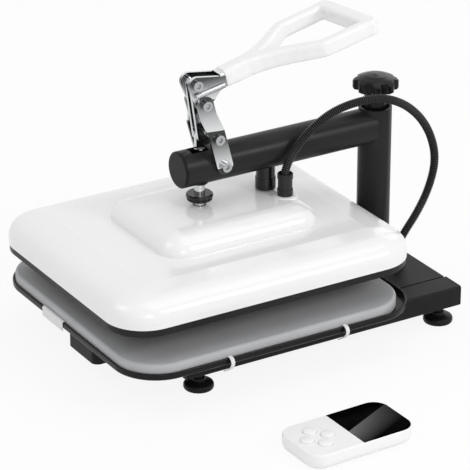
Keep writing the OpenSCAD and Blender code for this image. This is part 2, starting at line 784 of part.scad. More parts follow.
// Sleeve under the arm that keeps the platen square
module guide_sleeve() {
    low = crown_top + 1.6;
    color("#1b1b1d") translate([0, guide_y, low]) difference() {
        union() {
            cylinder(d = sleeve_d, h = arm_bottom + 11 - low);
            cylinder(d = sleeve_d + 2, h = arm_bottom - low - 12);
        }
        translate([0, 0, -1]) cylinder(d = guide_d + 2 * fit, h = arm_d);
    }
}

// Cranked plate at one side of the arm: wide apart at the arm and closer at the lever's pivot
module bracket(side) {
    bend = bracket_mid + 9;
    bend_l = 17;
    low = bracket_low;
    high = bracket_in;
    w = bracket_w;
    color("#d5d7da") scale_x(side)
        translate([0, bracket_foot[0], bracket_foot[1]]) rotate([bracket_tilt, 0, 0]) difference() {
            union() {
                along_y(-w / 2, w / 2)
                    polygon([[low, 0], [low + bracket_t, 0], [low + bracket_t, bend],
                        [high + bracket_t, bend + bend_l], [high + bracket_t, bracket_l],
                        [high, bracket_l], [high, bend + bend_l], [low, bend]]);
                bar_x(w, low, low + bracket_t, [0, 0]);
                bar_x(w, high, high + bracket_t, [0, bracket_l]);
            }
            for (s = [0, bracket_mid, bracket_l])
                bar_x(bolt_d + 2 * fit, 0, low + 3 * bracket_t, [0, s]);
        }
}
module bracket_left() { bracket(-1); }
module bracket_right() { bracket(1); }

// Cross bolts of the brackets: one through the arm, one through a spacer above it
module bracket_bolts() {
    outside = bracket_low + bracket_t;
    mid = bracket_foot + bracket_mid * [-sin(bracket_tilt), cos(bracket_tilt)];
    color("#c4c6ca") {
        for (at = [bracket_foot, mid]) {
            bar_x(bolt_d, -outside - 1, outside + 1, at);
            for (side = [-1, 1]) socket_head(side * outside, at, side);
        }
        bar_x(bolt_d + 1, -bracket_low + 0.1, bracket_low - 0.1, mid);
    }
}

// Short shoulder bolts, one at each side, on which the lever turns
module pivot_bolts() {
    outside = bracket_in + bracket_t;
    color("#c4c6ca")
        for (side = [-1, 1]) {
            scale_x(side) bar_x(bolt_d, cheek_in, outside + 1, pivot);
            socket_head(side * outside, pivot, side);
        }
}

// Lever: two cheeks with a bar along each, a ferrule and a tang for the grip
module lever_fork() {
    knee = ferrule + [-13, -5];
    nose = 9.8;
    heel = ferrule - 11.5 * [cos(grip_tilt), sin(grip_tilt)];
    stay_rise = (bracket_w + stay_d) / 2 + 0.6;
    color("#cfd1d5") difference() {
        union() {
            for (side = [-1, 1])
                scale_x(side) {
                    along_x(cheek_in, cheek_out) {
                        strap_outline(crank, nose, heel, 9);
                        strap_outline(pivot, 9.5, knee, 7);
                        strap_outline(pivot, 9.6, crank, nose);
                    }
                    translate([cheek_out + stay_d / 2 - 0.4, pivot[0], pivot[1]]) rotate([grip_tilt - 2.3, 0, 0])
                        translate([0, 0, stay_rise]) along_y(-9.6, 29.5) circle(d = stay_d);
                }
            translate([0, ferrule[0], ferrule[1]]) rotate([grip_tilt, 0, 0]) {
                along_y(-6.5, -1) rounded(2 * cheek_out - 1, 18, 4);
                along_y(-3, tang_reach) square([12, 8], center = true);
            }
        }
        bar_x(bolt_d + 2 * fit, -arm_d, arm_d, pivot);
        bar_x(bolt_d + 2 * fit, -arm_d, arm_d, crank);
    }
}

module crank_bolts() {
    color("#c4c6ca")
        for (side = [-1, 1]) {
            scale_x(side) bar_x(bolt_d, cheek_in, cheek_out + 1, crank);
            socket_head(side * cheek_out, crank, side);
        }
}

// Knots of half the loop grip: along the handle, out to one side, width and thickness
loop_x = loop_w / 2;
palm_y = grip_l - palm_w / 2;
loop_path = [[14, 0, neck_w, bar_t + 3], [33, 0, neck_w, bar_t + 2.6], [49, 5.7, neck_w - 3, bar_t + 2],
    [63.4, 13.4, neck_w - 5, bar_t + 1.4], [78.6, 23.7, bar_w + 1.3, bar_t + 0.8],
    [96.2, loop_x - 13.4, bar_w + 0.6, bar_t + 0.3], [113, loop_x - 0.8, bar_w, bar_t],
    [129, loop_x, bar_w, bar_t], [palm_y - 11, loop_x, bar_w, bar_t], [palm_y, loop_x, palm_w, bar_t],
    [palm_y, 0, palm_w, bar_t]];

// Round flat knot of the grip with eased edges
module grip_knot(p, side) {
    r = p[2] / 2;
    h = p[3] / 2;
    translate([side * p[1], p[0], 0]) rotate_extrude($fn = 24)
        polygon([[0, -h], [r - 4, -h], [r - 1.2, 1.2 - h], [r, 4 - h], [r, h - 4], [r - 1.2, h - 1.2],
            [r - 4, h], [0, h]]);
}

module handle_grip() {
    color("#f4f4f4") translate([0, ferrule[0], ferrule[1]]) rotate([grip_tilt, 0, 0]) difference() {
        union() {
            rotate([0, -grip_roll, 0])
                for (side = [-1, 1], k = [0 : len(loop_path) - 2])
                    hull() {
                        grip_knot(loop_path[k], side);
                        grip_knot(loop_path[k + 1], side);
                    }
            hull() {
                along_y(fit - 1, 2) rounded(neck_w - 1, bar_t + 2, 5, $fn = hull_fn);
                rotate([0, -grip_roll, 0]) grip_knot([16, 0, neck_w, bar_t + 3], 1);
            }
        }
        along_y(-10, tang_reach + 0.4) square([12 + 2 * fit, 8 + 2 * fit], center = true);
        along_y(-20, fit - 1) square(60, center = true);
    }
}

// Two bars between the crank bolts and the rod, held together by a cross tube above and a pin below
module toggle_link() {
    color("#d8dade") difference() {
        union() {
            for (side = [-1, 1])
                scale_x(side) along_x(link_in, link_out)
                    strap_outline(crank, link_w / 2 + 0.5, pin, link_w / 2);
            bar_x(link_w - 1, -link_in - 1, link_in + 1, crank);
            bar_x(link_pin_d, -link_in - 1, link_in + 1, pin);
        }
        bar_x(bolt_d - 1, -arm_d, arm_d, crank);
    }
}

// Chromed rod with a flat tang at its top for the link
module pressure_rod() {
    tang_z = pin_z - tang_l;
    color("#d8dade") difference() {
        union() {
            translate([0, rod_y, mount_z + 1.4]) cylinder(d = rod_d, h = tang_z - mount_z - 1.4);
            along_x(-tang_t / 2, tang_t / 2) {
                translate(pin) circle(link_w / 2);
                translate([rod_y - link_w / 2, tang_z - 1]) square([link_w, tang_l + 1]);
            }
        }
        bar_x(link_pin_d + 2 * fit, -arm_d, arm_d, pin);
    }
}

// Turned pressure nut on the rod with a groove round its rim
module pressure_nut() {
    r = nut_d / 2;
    bore = rod_d / 2 + fit;
    color("#171718") translate([0, rod_y, nut_z]) rotate_extrude()
        polygon([[bore, 0], [r - 2, 0], [r - 1, 0.8], [r - 1, 2.6], [r - 1.9, 3], [r - 1.9, 3.6], [r - 0.6, 4],
            [r, 4.7], [r, nut_h - 1.4], [r - 1.5, nut_h], [bore, nut_h]]);
}

module guide_rod() {
    color("#d8dade") translate([0, guide_y, mount_z + 1.4])
        cylinder(d = guide_d, h = arm_top - arm_wall - 3 - mount_z - 1.4);
}

mount_bolt_x = 60;
mount_bolt_y = [-58, 92];
housing_screw_x = opening_w / 2 + 10;
housing_screw_y = [-36, 66];

// Steel plate that carries the rods, with a boss for each and spacers up to the housing
module rod_mount_plate() {
    boss_h = 18;
    color("#8d8f93") difference() {
        union() {
            translate([0, mount_y, mount_z]) slab(mount_w, mount_l, 10, mount_t);
            translate([0, rod_y, mount_z]) cylinder(d = rod_d + 14, h = mount_t + boss_h);
            translate([0, guide_y, mount_z]) cylinder(d = guide_d + 12, h = mount_t + boss_h);
            for (sx = [-1, 1], y = housing_screw_y)
                translate([sx * housing_screw_x, y, mount_z]) cylinder(d = 10, h = mount_t + spacer_h);
        }
        translate([0, rod_y, mount_z + 1.3]) cylinder(d = rod_d + 2 * fit, h = 40);
        translate([0, guide_y, mount_z + 1.3]) cylinder(d = guide_d + 2 * fit, h = 40);
        for (sx = [-1, 1], y = mount_bolt_y)
            translate([sx * mount_bolt_x, y, mount_z - 1]) cylinder(d = 6 + 2 * fit, h = mount_t + 2);
        for (sx = [-1, 1], y = housing_screw_y)
            translate([sx * housing_screw_x, y, mount_z + mount_t]) cylinder(d = 4 + 2 * fit, h = 40);
    }
}

module platen_screws() {
    color("#a5a7ab") {
        for (sx = [-1, 1], y = mount_bolt_y)
            translate([sx * mount_bolt_x, y, mount_z + mount_t])
                screw_down(6, 11, 4, mount_z + mount_t - plate_top + 5);
        for (sx = [-1, 1], y = housing_screw_y)
            translate([sx * housing_screw_x, y, housing_top]) screw_down(4, 8, 2, shell_wall + 5);
    }
}

module heating_plate() {
    color("#1a1a1b") difference() {
        union() {
            translate([0, 0, plate_z]) slab(platen_w - 5, platen_l - 5, platen_r - 2.5, plate_h);
            translate([0, 0, plate_z + 1.5]) slab(platen_w - 2, platen_l - 2, platen_r - 1, plate_h - 1.5);
        }
        for (sx = [-1, 1], y = mount_bolt_y)
            translate([sx * mount_bolt_x, y, plate_top - 6]) cylinder(d = 6 + 2 * fit, h = 8);
    }
}

element_x = [-90, -30, 30, 90];
element_l = 250;

// Tubular element laid to and fro over the plate, with its two ends turned up
module heating_element() {
    z = plate_top + seat_gap + element_d / 2;
    pitch = element_x[1] - element_x[0];
    half = element_l / 2;
    color("#b9a58c") {
        for (x = element_x)
            translate([x, -half, z]) rotate([-90, 0, 0]) cylinder(d = element_d, h = element_l);
        for (k = [0 : len(element_x) - 2])
            translate([element_x[k] + pitch / 2, (k % 2 == 0 ? 1 : -1) * half, z])
                rotate([0, 0, k % 2 == 0 ? 0 : 180])
                    rotate_extrude(angle = 180) translate([pitch / 2, 0]) circle(d = element_d);
    }
}

module insulation_board() {
    color("#d9d3c4") difference() {
        translate([0, 0, board_z]) slab(platen_w - 76, platen_l - 98, 20, board_h);
        for (sx = [-1, 1], y = mount_bolt_y)
            translate([sx * mount_bolt_x, y, board_z - 1]) cylinder(d = 6 + 2 * seat_gap, h = board_h + 2);
    }
}

probe_y = -168;

module thermocouple() {
    color("#c9cbd0") translate([50, probe_y, plate_top]) {
        translate([-6, -5, 0]) cube([12, 10, 6]);
        translate([0, 0, 3]) rotate([0, -90, 0]) cylinder(d = 4, h = 28);
    }
}

module thermal_cutout() {
    color("#3a3a3c") translate([-50, probe_y, plate_top]) {
        cylinder(d = 17, h = 6);
        translate([-12, -4, 0]) cube([24, 8, 1.6]);
        for (sx = [-1, 1]) translate([sx * 4 - 0.5, -3, 5]) cube([1, 6, 9]);
    }
}

// Insets and heights of the housing's soft white shoulder
housing_edge = [[0, 0], [0, 8], [0.7, 13], [2.4, 17.6], [5.6, 22], [10.5, 25.8], [18, housing_h - 5.8],
    [28, housing_h - 3], [platen_r - 1.5, housing_h]];

module platen_housing() {
    color("#f5f5f5") difference() {
        translate([0, 0, plate_top]) pillow(platen_w, platen_l, platen_r, housing_edge);
        translate([0, 0, plate_top])
            pillow(platen_w - 2 * shell_wall, platen_l - 2 * shell_wall, platen_r - shell_wall,
                hollow(housing_edge, platen_r, shell_wall));
        translate([0, opening_y, plate_top]) slab(opening_w, opening_l, 20, housing_h + 5);
        for (sx = [-1, 1], y = housing_screw_y)
            translate([sx * housing_screw_x, y, plate_top + 5]) cylinder(d = 4 + 2 * fit, h = housing_h);
    }
}

crown_edge = [[0, 0], [0.5, 4], [2.2, 8.5], [5.5, 13], [10, crown_h - 6.4], [15.5, crown_h - 3.6],
    [21.5, crown_h - 1.4], [crown_r - 1.5, crown_h]];

// Raised cover over the middle of the housing, drilled for the rods and the conduit gland
module centre_cover() {
    color("#f5f5f5") difference() {
        union() {
            translate([0, crown_y, housing_top]) pillow(crown_w, crown_l, crown_r, crown_edge);
            translate([gland_x, gland_y, housing_top + 6])
                cylinder(d = bump_d, h = bump_top - housing_top - 6);
        }
        translate([0, crown_y, housing_top])
            pillow(crown_w - 2 * shell_wall, crown_l - 2 * shell_wall, crown_r - shell_wall,
                hollow(crown_edge, crown_r, shell_wall));
        translate([0, rod_y, housing_top]) cylinder(d = rod_d + 3, h = crown_h + 5);
        translate([0, guide_y, housing_top]) cylinder(d = guide_d + 3, h = crown_h + 5);
        translate([gland_x, gland_y, housing_top]) cylinder(d = 15 + 2 * fit, h = crown_h + 5);
    }
}

// Upright gland for the conduit, with a collar at each end
module platen_gland() {
    color("#1b1b1d") translate([gland_x, gland_y, bump_top]) difference() {
        union() {
            cylinder(d = 17.4, h = gland_h);
            cylinder(d = 19, h = 9);
            translate([0, 0, gland_h - 7]) cylinder(d = 19, h = 6);
            translate([0, 0, -8]) cylinder(d = 15, h = 9);
        }
        translate([0, 0, -9]) cylinder(d = conduit_d + 1.6, h = gland_h + 20);
    }
}

// Places a piece of the control box on the table
module control_place() {
    translate([control_x, control_y, 0]) rotate([0, 0, control_turn]) children();
}

// Half shell of the control box, hollowed from z0 upwards with its wall thickened by extra
module control_shell(edge, z0, h, extra) {
    wall = control_wall + extra;
    difference() {
        pillow(control_w, control_l, control_r, edge);
        translate([0, 0, z0]) slab(control_w - 2 * wall, control_l - 2 * wall, control_r - wall, h);
    }
}

screen_w = control_w - 2.6;
screen_l = 72;
screen_r = control_r - 1.6;
screen_t = 2;
screen_y = control_l / 2 - 1.6 - screen_l / 2;
control_board_z = 6;

// Outline of the glass: round corners at the rear, square ones towards the buttons
module screen_outline(w, l) {
    translate([0, -screen_r / 2]) square([w, l - screen_r], center = true);
    translate([0, l / 2 - screen_r / 2]) square([w - 2 * screen_r, screen_r], center = true);
    for (sx = [-1, 1])
        translate([sx * (w / 2 - screen_r), l / 2 - screen_r]) circle(screen_r);
}

module controller_base() {
    color("#f5f5f5") control_place() {
        control_shell([[9, 0], [5, 1.2], [2.2, 3.6], [0.7, 6.6], [0, 9.4], [0, control_split]],
            4, control_split, 2);
        for (sx = [-1, 1], sy = [-1, 1])
            translate([sx * 22, sy * 46, 3]) cylinder(d = 6, h = control_board_z - 3);
    }
}

module controller_top() {
    rise = control_h - control_split;
    color("#f5f5f5") control_place() difference() {
        translate([0, 0, control_split])
            control_shell([[0, 0], [0, rise - 2.4], [0.3, rise - 1.1], [0.9, rise - 0.3], [1.5, rise]],
                -1, rise - control_wall + 1, 0);
        translate([0, screen_y, control_h - screen_t])
            linear_extrude(screen_t + 1) screen_outline(screen_w + 2 * fit, screen_l + 2 * fit);
        for (p = button_places)
            translate([p[0], p[1], control_split]) cylinder(d = button_d + 2 * seat_gap, h = control_h);
    }
}

// Dark glass let flush into the rear half of the control box
module controller_screen() {
    color("#050506") control_place() translate([0, screen_y, control_h - screen_t])
        linear_extrude(screen_t) screen_outline(screen_w, screen_l);
}

module controller_board() {
    color("#2e6b3a") control_place() {
        translate([0, 0, control_board_z]) slab(control_w - 16, control_l - 22, 6, 1.6);
        for (p = button_places)
            translate([p[0] - 3, p[1] - 3, control_board_z + 1]) cube([6, 6, 4]);
    }
}

button_places = [[0, button_y - button_pitch / 1.4], [0, button_y + button_pitch / 1.4],
    [-button_pitch / 1.2, button_y], [button_pitch / 1.2, button_y]];

// Round button with a lip under the shell and a slightly domed face
module button(k) {
    r = button_d / 2;
    p = button_places[k];
    lip_z = control_h - control_wall - button_lip - 0.2;
    color("#ededed") control_place() translate([p[0], p[1], 0]) rotate_extrude()
        polygon([[0, lip_z - 3.4], [2, lip_z - 3.4], [2, lip_z], [r + 1, lip_z],
            [r + 1, lip_z + button_lip], [r, lip_z + button_lip], [r, control_h + button_rise - 1.2],
            [r - 0.6, control_h + button_rise - 0.4], [r - 2, control_h + button_rise],
            [0, control_h + button_rise + 0.6]]);
}
module button_front() { button(0); }
module button_rear() { button(1); }
module button_left() { button(2); }
module button_right() { button(3); }

seat() side_rail_left();
seat() side_rail_right();
seat() rail_end_caps();
seat() rear_crossbox();
seat() box_cover();
seat() front_channel();
seat() base_screws();
seat() foot_front_left();
seat() foot_front_right();
seat() foot_rear_left();
seat() foot_rear_right();
seat() lower_tray();
seat() silicone_pad();
seat() pad_straps();
seat() rim_label();
seat() column_flange();
seat() pivot_post();
seat() thrust_washer();
seat() control_board();
seat() power_inlet();
seat() rocker_switch();
seat() base_gland();
seat() conduit();
seat() star_knob();
seat() column_tube();
seat() column_bushes();
seat() arm_tube();
seat() arm_end_cap();
seat() rod_bush();
seat() guide_sleeve();
seat() bracket_left();
seat() bracket_right();
seat() bracket_bolts();
seat() pivot_bolts();
seat() lever_fork();
seat() crank_bolts();
seat() handle_grip();
seat() toggle_link();
seat() pressure_rod();
seat() pressure_nut();
seat() guide_rod();
seat() rod_mount_plate();
seat() platen_screws();
seat() heating_plate();
seat() heating_element();
seat() insulation_board();
seat() thermocouple();
seat() thermal_cutout();
seat() platen_housing();
seat() centre_cover();
seat() platen_gland();
seat() controller_base();
seat() controller_top();
seat() controller_screen();
seat() controller_board();
seat() button_front();
seat() button_rear();
seat() button_left();
seat() button_right();
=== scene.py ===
"""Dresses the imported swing-away heat press and sets it in a plain studio."""

import math

import bmesh
import bpy
from bpy.props import FloatProperty, FloatVectorProperty, IntProperty, PointerProperty
from mathutils import Matrix, Vector


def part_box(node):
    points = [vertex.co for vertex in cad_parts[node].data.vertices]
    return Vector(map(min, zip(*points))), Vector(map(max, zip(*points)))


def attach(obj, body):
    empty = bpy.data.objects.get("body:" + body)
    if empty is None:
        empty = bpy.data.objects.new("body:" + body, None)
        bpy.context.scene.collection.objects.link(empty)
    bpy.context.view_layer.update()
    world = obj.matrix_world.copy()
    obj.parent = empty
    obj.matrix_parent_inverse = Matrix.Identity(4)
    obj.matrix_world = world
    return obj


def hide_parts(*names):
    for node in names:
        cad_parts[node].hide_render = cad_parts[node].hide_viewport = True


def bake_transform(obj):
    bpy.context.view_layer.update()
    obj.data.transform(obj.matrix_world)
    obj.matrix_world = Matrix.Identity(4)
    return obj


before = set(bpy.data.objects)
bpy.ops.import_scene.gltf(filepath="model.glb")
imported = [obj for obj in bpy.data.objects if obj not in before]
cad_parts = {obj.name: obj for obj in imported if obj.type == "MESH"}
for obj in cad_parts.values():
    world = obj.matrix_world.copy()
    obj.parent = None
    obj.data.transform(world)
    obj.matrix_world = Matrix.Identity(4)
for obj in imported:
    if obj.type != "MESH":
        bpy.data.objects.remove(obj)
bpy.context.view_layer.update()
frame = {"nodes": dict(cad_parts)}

bl_info = {
    "name": "Swing-away heat press",
    "version": (1, 0, 0),
    "blender": (4, 5, 0),
    "location": "View3D > Sidebar > Heat press",
    "description": "Builds the visible pieces of a swing-away heat press on its packed frame",
    "category": "Object",
}

# The press frame's origin is on the table under the platen, this many millimetres before the column
COLUMN_Y = 238.0


def press_origin():
    """Origin of the press frame, found from the column."""
    low, high = (Vector(c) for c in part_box("column_tube"))
    return Vector(((low.x + high.x) / 2, (low.y + high.y) / 2 - COLUMN_Y / 1000, 0.0))


PRESS = press_origin()


def corners(node):
    """Lowest and highest corner of a frame node, in millimetres of the press frame."""
    low, high = (Vector(c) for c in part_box(node))
    return (low - PRESS) * 1000, (high - PRESS) * 1000


def middle(low, high):
    """Middle of a box, seen from above."""
    return (low.x + high.x) / 2, (low.y + high.y) / 2


# Camera fitted to the photograph, in degrees and metres of the press frame
VIEW_AZIMUTH = 58.86
VIEW_ELEVATION = 24.53
VIEW_DISTANCE = 3.41507
VIEW_TARGET = (0.0, 0.040, 0.120)
VIEW_LENS = 218.5
VIEW_SENSOR = 36.0
VIEW_SHIFT = (-0.0008, -0.0064)
VIEW_REACH = 50

# Floor and sky: the floor's share of plain white where it is seen, and the sky's light on the press
FLOOR_SIZE = 14
FLOOR_TONE = (0.9, 0.9, 0.9, 1)
FLOOR_DULLNESS = 0.9
FLOOR_WHITE = 0.89
SKY_LIGHT = 0.63
WHITE = (1, 1, 1, 1)

# Lamps: name, place and width in metres, power in watts; all of them face one point
LAMP_AIM = (0, 0, 0.15)
LAMPS = (
    ("key_light", (-0.9, -2.2, 2.6), 1.8, 13),
    ("side_light", (2.6, -0.9, 1.3), 1.0, 12),
    ("top_light", (0.2, 0.8, 3.0), 2.2, 11),
    ("rear_light", (-1.8, 2.4, 1.8), 1.6, 6),
    ("arm_light", (2.2, 1.4, 1.8), 0.8, 19),
)

# Route of the conduit from inside the platen to the rear box, in metres of the press frame
CONDUIT_ROUTE = [
    (0.030, 0.091, 0.140), (0.030, 0.091, 0.160), (0.030, 0.091, 0.180), (0.030, 0.091, 0.198),
    (0.031, 0.098, 0.216), (0.032, 0.111, 0.233), (0.034, 0.128, 0.249), (0.036, 0.147, 0.261),
    (0.038, 0.168, 0.268), (0.040, 0.191, 0.271), (0.041, 0.213, 0.270), (0.042, 0.234, 0.264),
    (0.042, 0.255, 0.252), (0.043, 0.273, 0.235), (0.043, 0.287, 0.214), (0.044, 0.295, 0.191),
    (0.044, 0.297, 0.170), (0.044, 0.293, 0.149), (0.044, 0.284, 0.127), (0.044, 0.271, 0.106),
    (0.044, 0.257, 0.088), (0.044, 0.248, 0.074), (0.044, 0.246, 0.062), (0.044, 0.246, 0.052)]
CONDUIT_WIDTH = 0.0105

# Rings of the conduit: sides of a ring, rings to a rib, rings between two points of its stated path
RING = 18
RINGS_PER_RIB = 4

# Attribute of the conduit that is one on the crest of a rib and zero in a groove
CREST = "crest"

# White shells, in millimetres: edges as insets and heights, and corners
HOUSING_EDGE = [(0, 0), (0, 4), (0, 8), (0.7, 13), (2.4, 17.6), (5.6, 22), (10.5, 25.8), (18, 29.2),
                (28, 32), (48.5, 35)]
HOUSING_CORNER = 50.0
COVER_EDGE = [(0, 0), (0.5, 4), (2.2, 8.5), (5.5, 13), (10, 16.6), (15.5, 19.4), (21.5, 21.6),
              (28.5, 23)]
COVER_CORNER = 30.0
EDGE_SPACING = 1.2

# Room that the inner wall of a shell keeps from its foot and from its top
FOOT_ROOM = 1
TOP_ROOM = 0.5

# Opening under the cover: width, length and corner; centre; start above the foot, end above the top
OPENING = (108, 168, 20)
OPENING_CENTRE = (0, 25)
OPENING_FOOT = 10
OPENING_REACH = 6
OPENING_STEPS = 8

# Radii of the holes in the centre cover, and how far they start above its foot and end above its top
COVER_HOLES = {"pressure_rod": 8, "guide_rod": 8.5, "platen_gland": 7.55}
HOLE_OFFSET = 5
HOLE_SIDES = 64

# Ring round the platen's gland: its top over the gland's foot, and radii with heights from that top
RING_TOP = 8
RING_STEPS = 72
GLAND_RING = [(9.7, -2), (9.7, 1.2), (12.4, 1.2), (14.2, 0.7), (15.4, -0.5), (15.9, -2.4),
              (16, -8), (16, -16)]

# Pad, in millimetres: corner, roll of its edge, fall from crown to roll, and ends of its profile
PAD_CORNER = 51.5
PAD_ROLL = 4.2
PAD_FALL = 0.9
PAD_LIFT = 0.05
PAD_FOOT = [(40, 0), (2.2, 0), (1, 0.5), (0.3, 1.5), (0, 3)]
PAD_CROWN = [(8, -0.7), (16, -0.35), (28, -0.1), (40, -0.02)]
PAD_STEPS = 10

# Tray, in millimetres: corner, wall, floor, and the profile outside and inside its rolled rim
TRAY_CORNER = 55.0
TRAY_WALL = 3.0
TRAY_FLOOR = 2.0
TRAY_FOOT = [(50, 0), (2.4, 0), (1.1, 0.35), (0.35, 1.1), (0, 2.4)]
TRAY_BED = [(TRAY_WALL, 1.4), (TRAY_WALL + 0.4, 0.4), (TRAY_WALL + 1.4, 0), (50, 0)]
RIM_STEPS = 8

# Tag on the rim, in millimetres: thickness, radius of its fold, steps of the fold and columns across
TAG_THICK = 0.7
TAG_FOLD = 1.6
TAG_STEPS = 6
TAG_COLUMNS = 12

# Rows of the tag: two on top from its back and its front, then some below its top and above its lower end
TAG_BACK = 0.2
TAG_BEND = 2.6
TAG_DROPS = (5, 8)
TAG_ENDS = (1.5, 0.4)

# One easing round of a cast skin: smoothing, then filling out again so that it keeps its bulk
EASE_AND_FILL = (0.6, -0.612)
GRIP_ROUNDS = 45
KNOB_ROUNDS = 5
KNOB_CELL = 0.0007

# Angles in degrees: edges that shade sharp on shells, on rolled edges and on cord or cloth, edges that
# are rounded, and facets that count as one face
SHARP_ANGLE = 35
ROLL_ANGLE = 50
SOFT_ANGLE = 60
EDGE_ANGLE = 32
FLAT_ANGLE = 0.6

# Distances at which points are merged: new shapes in millimetres, copies of frame nodes in metres
SHAPE_MERGE = 2e-3
NODE_MERGE = 1e-6

# Painted reflection bands on the plating as length and height of the dark start, in metres; on the strips it
# is their lower bend
LEVER_REFLECTION_BAND = (0.034, 0.337)
STRIP_REFLECTION_BAND = (0.048, 0.268)

# Painted sheen on the screen: foot of its sharp line, turn of that line, and its edge, width and length
SHEEN_FOOT = (0.333, -0.0125, 0.0)
SHEEN_TURN = math.atan2(0.0316, 0.067)
SHEEN_EDGE = 0.0006
SHEEN_WIDTH = 0.034
SHEEN_LENGTH = 0.07


class PressSizes(bpy.types.PropertyGroup):
    """Small sizes of the dressed pieces"""

    shell_wall: FloatProperty(
        name="Shell wall", description="Wall of the white housing and of its centre cover",
        default=0.003, min=0.002, max=0.004, unit="LENGTH")
    rib_pitch: FloatProperty(
        name="Rib pitch", description="Distance between two ribs of the conduit",
        default=0.0024, min=0.0018, max=0.004, unit="LENGTH")
    rib_depth: FloatProperty(
        name="Rib depth", description="Depth of the grooves between the conduit's ribs",
        default=0.0012, min=0.0002, max=0.0015, unit="LENGTH")
    mould_cell: FloatProperty(
        name="Mould fineness", description="Cell size at which the loop grip is moulded into one skin",
        default=0.0012, min=0.0008, max=0.003, unit="LENGTH")
    corner_steps: IntProperty(
        name="Corner steps", description="Steps round a corner of the housing, tray and pad",
        default=14, min=6, max=32)


class PressColours(bpy.types.PropertyGroup):
    """Main colours of the finishes"""

    shell: FloatVectorProperty(
        name="Shell", description="White of the housing, handle and control box",
        default=(0.88, 0.88, 0.88), min=0, max=1, subtype="COLOR")
    frame: FloatVectorProperty(
        name="Frame", description="Powder coat of the base frame",
        default=(0.009, 0.009, 0.010), min=0, max=1, subtype="COLOR")
    column: FloatVectorProperty(
        name="Column", description="Satin coat of the column and the arm",
        default=(0.014, 0.014, 0.015), min=0, max=1, subtype="COLOR")
    pad: FloatVectorProperty(
        name="Pad", description="Silicone of the lower pad",
        default=(0.47, 0.475, 0.485), min=0, max=1, subtype="COLOR")
    chrome: FloatVectorProperty(
        name="Chrome", description="Plated pieces of the lever",
        default=(0.72, 0.73, 0.74), min=0, max=1, subtype="COLOR")


def lighter(colour, share):
    """A colour moved towards white by a share, or towards black where the share is negative."""
    goal = 1.0 if share > 0 else 0.0
    return tuple(c + (goal - c) * abs(share) for c in colour)


# Shader nodes

# Sockets of a Mix node that mixes colours
MIX_FACTOR, MIX_FIRST, MIX_SECOND, MIX_COLOUR = 0, 6, 7, 2


def plug(tree, source, socket):
    """Sets a socket to a number, or links it to another node's output."""
    if isinstance(source, (int, float)):
        socket.default_value = source
    else:
        tree.links.new(source, socket)


def own_place(tree):
    """A point's place on the piece."""
    return tree.nodes.new("ShaderNodeTexCoord").outputs["Object"]


def noise(tree, vector, scale, detail):
    """Noise on a vector socket, with its scale from a socket or a number."""
    node = tree.nodes.new("ShaderNodeTexNoise")
    node.inputs["Detail"].default_value = detail
    tree.links.new(vector, node.inputs["Vector"])
    plug(tree, scale, node.inputs["Scale"])
    return node.outputs["Fac"]


def wave(tree, vector, axis, scale, distortion):
    """Bands across an axis of a vector socket."""
    node = tree.nodes.new("ShaderNodeTexWave")
    node.bands_direction = axis
    node.inputs["Distortion"].default_value = distortion
    tree.links.new(vector, node.inputs["Vector"])
    tree.links.new(scale, node.inputs["Scale"])
    return node


def spread(tree, value, low, high, start=0.3, end=0.7):
    """Maps a value from start to end onto a range whose ends are sockets or numbers."""
    node = tree.nodes.new("ShaderNodeMapRange")
    for source, label in ((value, "Value"), (start, "From Min"), (end, "From Max"),
                          (low, "To Min"), (high, "To Max")):
        plug(tree, source, node.inputs[label])
    return node.outputs["Result"]


def calculated(tree, operation, *values):
    """Result of a Math node on sockets or numbers."""
    node = tree.nodes.new("ShaderNodeMath")
    node.operation = operation
    for value, socket in zip(values, node.inputs):
        plug(tree, value, socket)
    return node.outputs[0]


def split(tree, vector):
    """The X, Y and Z outputs of a vector socket."""
    node = tree.nodes.new("ShaderNodeSeparateXYZ")
    tree.links.new(vector, node.inputs["Vector"])
    return node.outputs


def two_colours(tree, factor, first, second):
    """Mixes two colour sockets by a factor."""
    node = tree.nodes.new("ShaderNodeMix")
    node.data_type = "RGBA"
    for source, socket in ((factor, MIX_FACTOR), (first, MIX_FIRST), (second, MIX_SECOND)):
        tree.links.new(source, node.inputs[socket])
    return node.outputs[MIX_COLOUR]


# Shader groups: every one turns its inputs into a colour, a roughness and a height

SKIN_OUTPUTS = {
    "Colour": "NodeSocketColor", "Roughness": "NodeSocketFloat", "Height": "NodeSocketFloat"}
GREY = (0.5, 0.5, 0.5, 1)


def socket_kind(value):
    """Kind of socket that holds a number, a vector of three or a colour of four."""
    if isinstance(value, (int, float)):
        return "NodeSocketFloat"
    return "NodeSocketVector" if len(value) == 3 else "NodeSocketColor"


def skin_group(name, wire, **inputs):
    """A shader group, made once; wire takes its tree and inputs and hands over its three outputs."""
    if name in bpy.data.node_groups:
        return bpy.data.node_groups[name]
    tree = bpy.data.node_groups.new(name, "ShaderNodeTree")
    for label, value in {"Colour": GREY, "Drift": GREY, **inputs}.items():
        socket = tree.interface.new_socket(name=label.replace("_", " "), in_out="INPUT",
                                           socket_type=socket_kind(value))
        socket.default_value = value
    for label, kind in SKIN_OUTPUTS.items():
        tree.interface.new_socket(name=label, in_out="OUTPUT", socket_type=kind)
    start, end = tree.nodes.new("NodeGroupInput"), tree.nodes.new("NodeGroupOutput")
    for source, label in zip(wire(tree, start.outputs), SKIN_OUTPUTS):
        tree.links.new(source, end.inputs[label])
    return tree


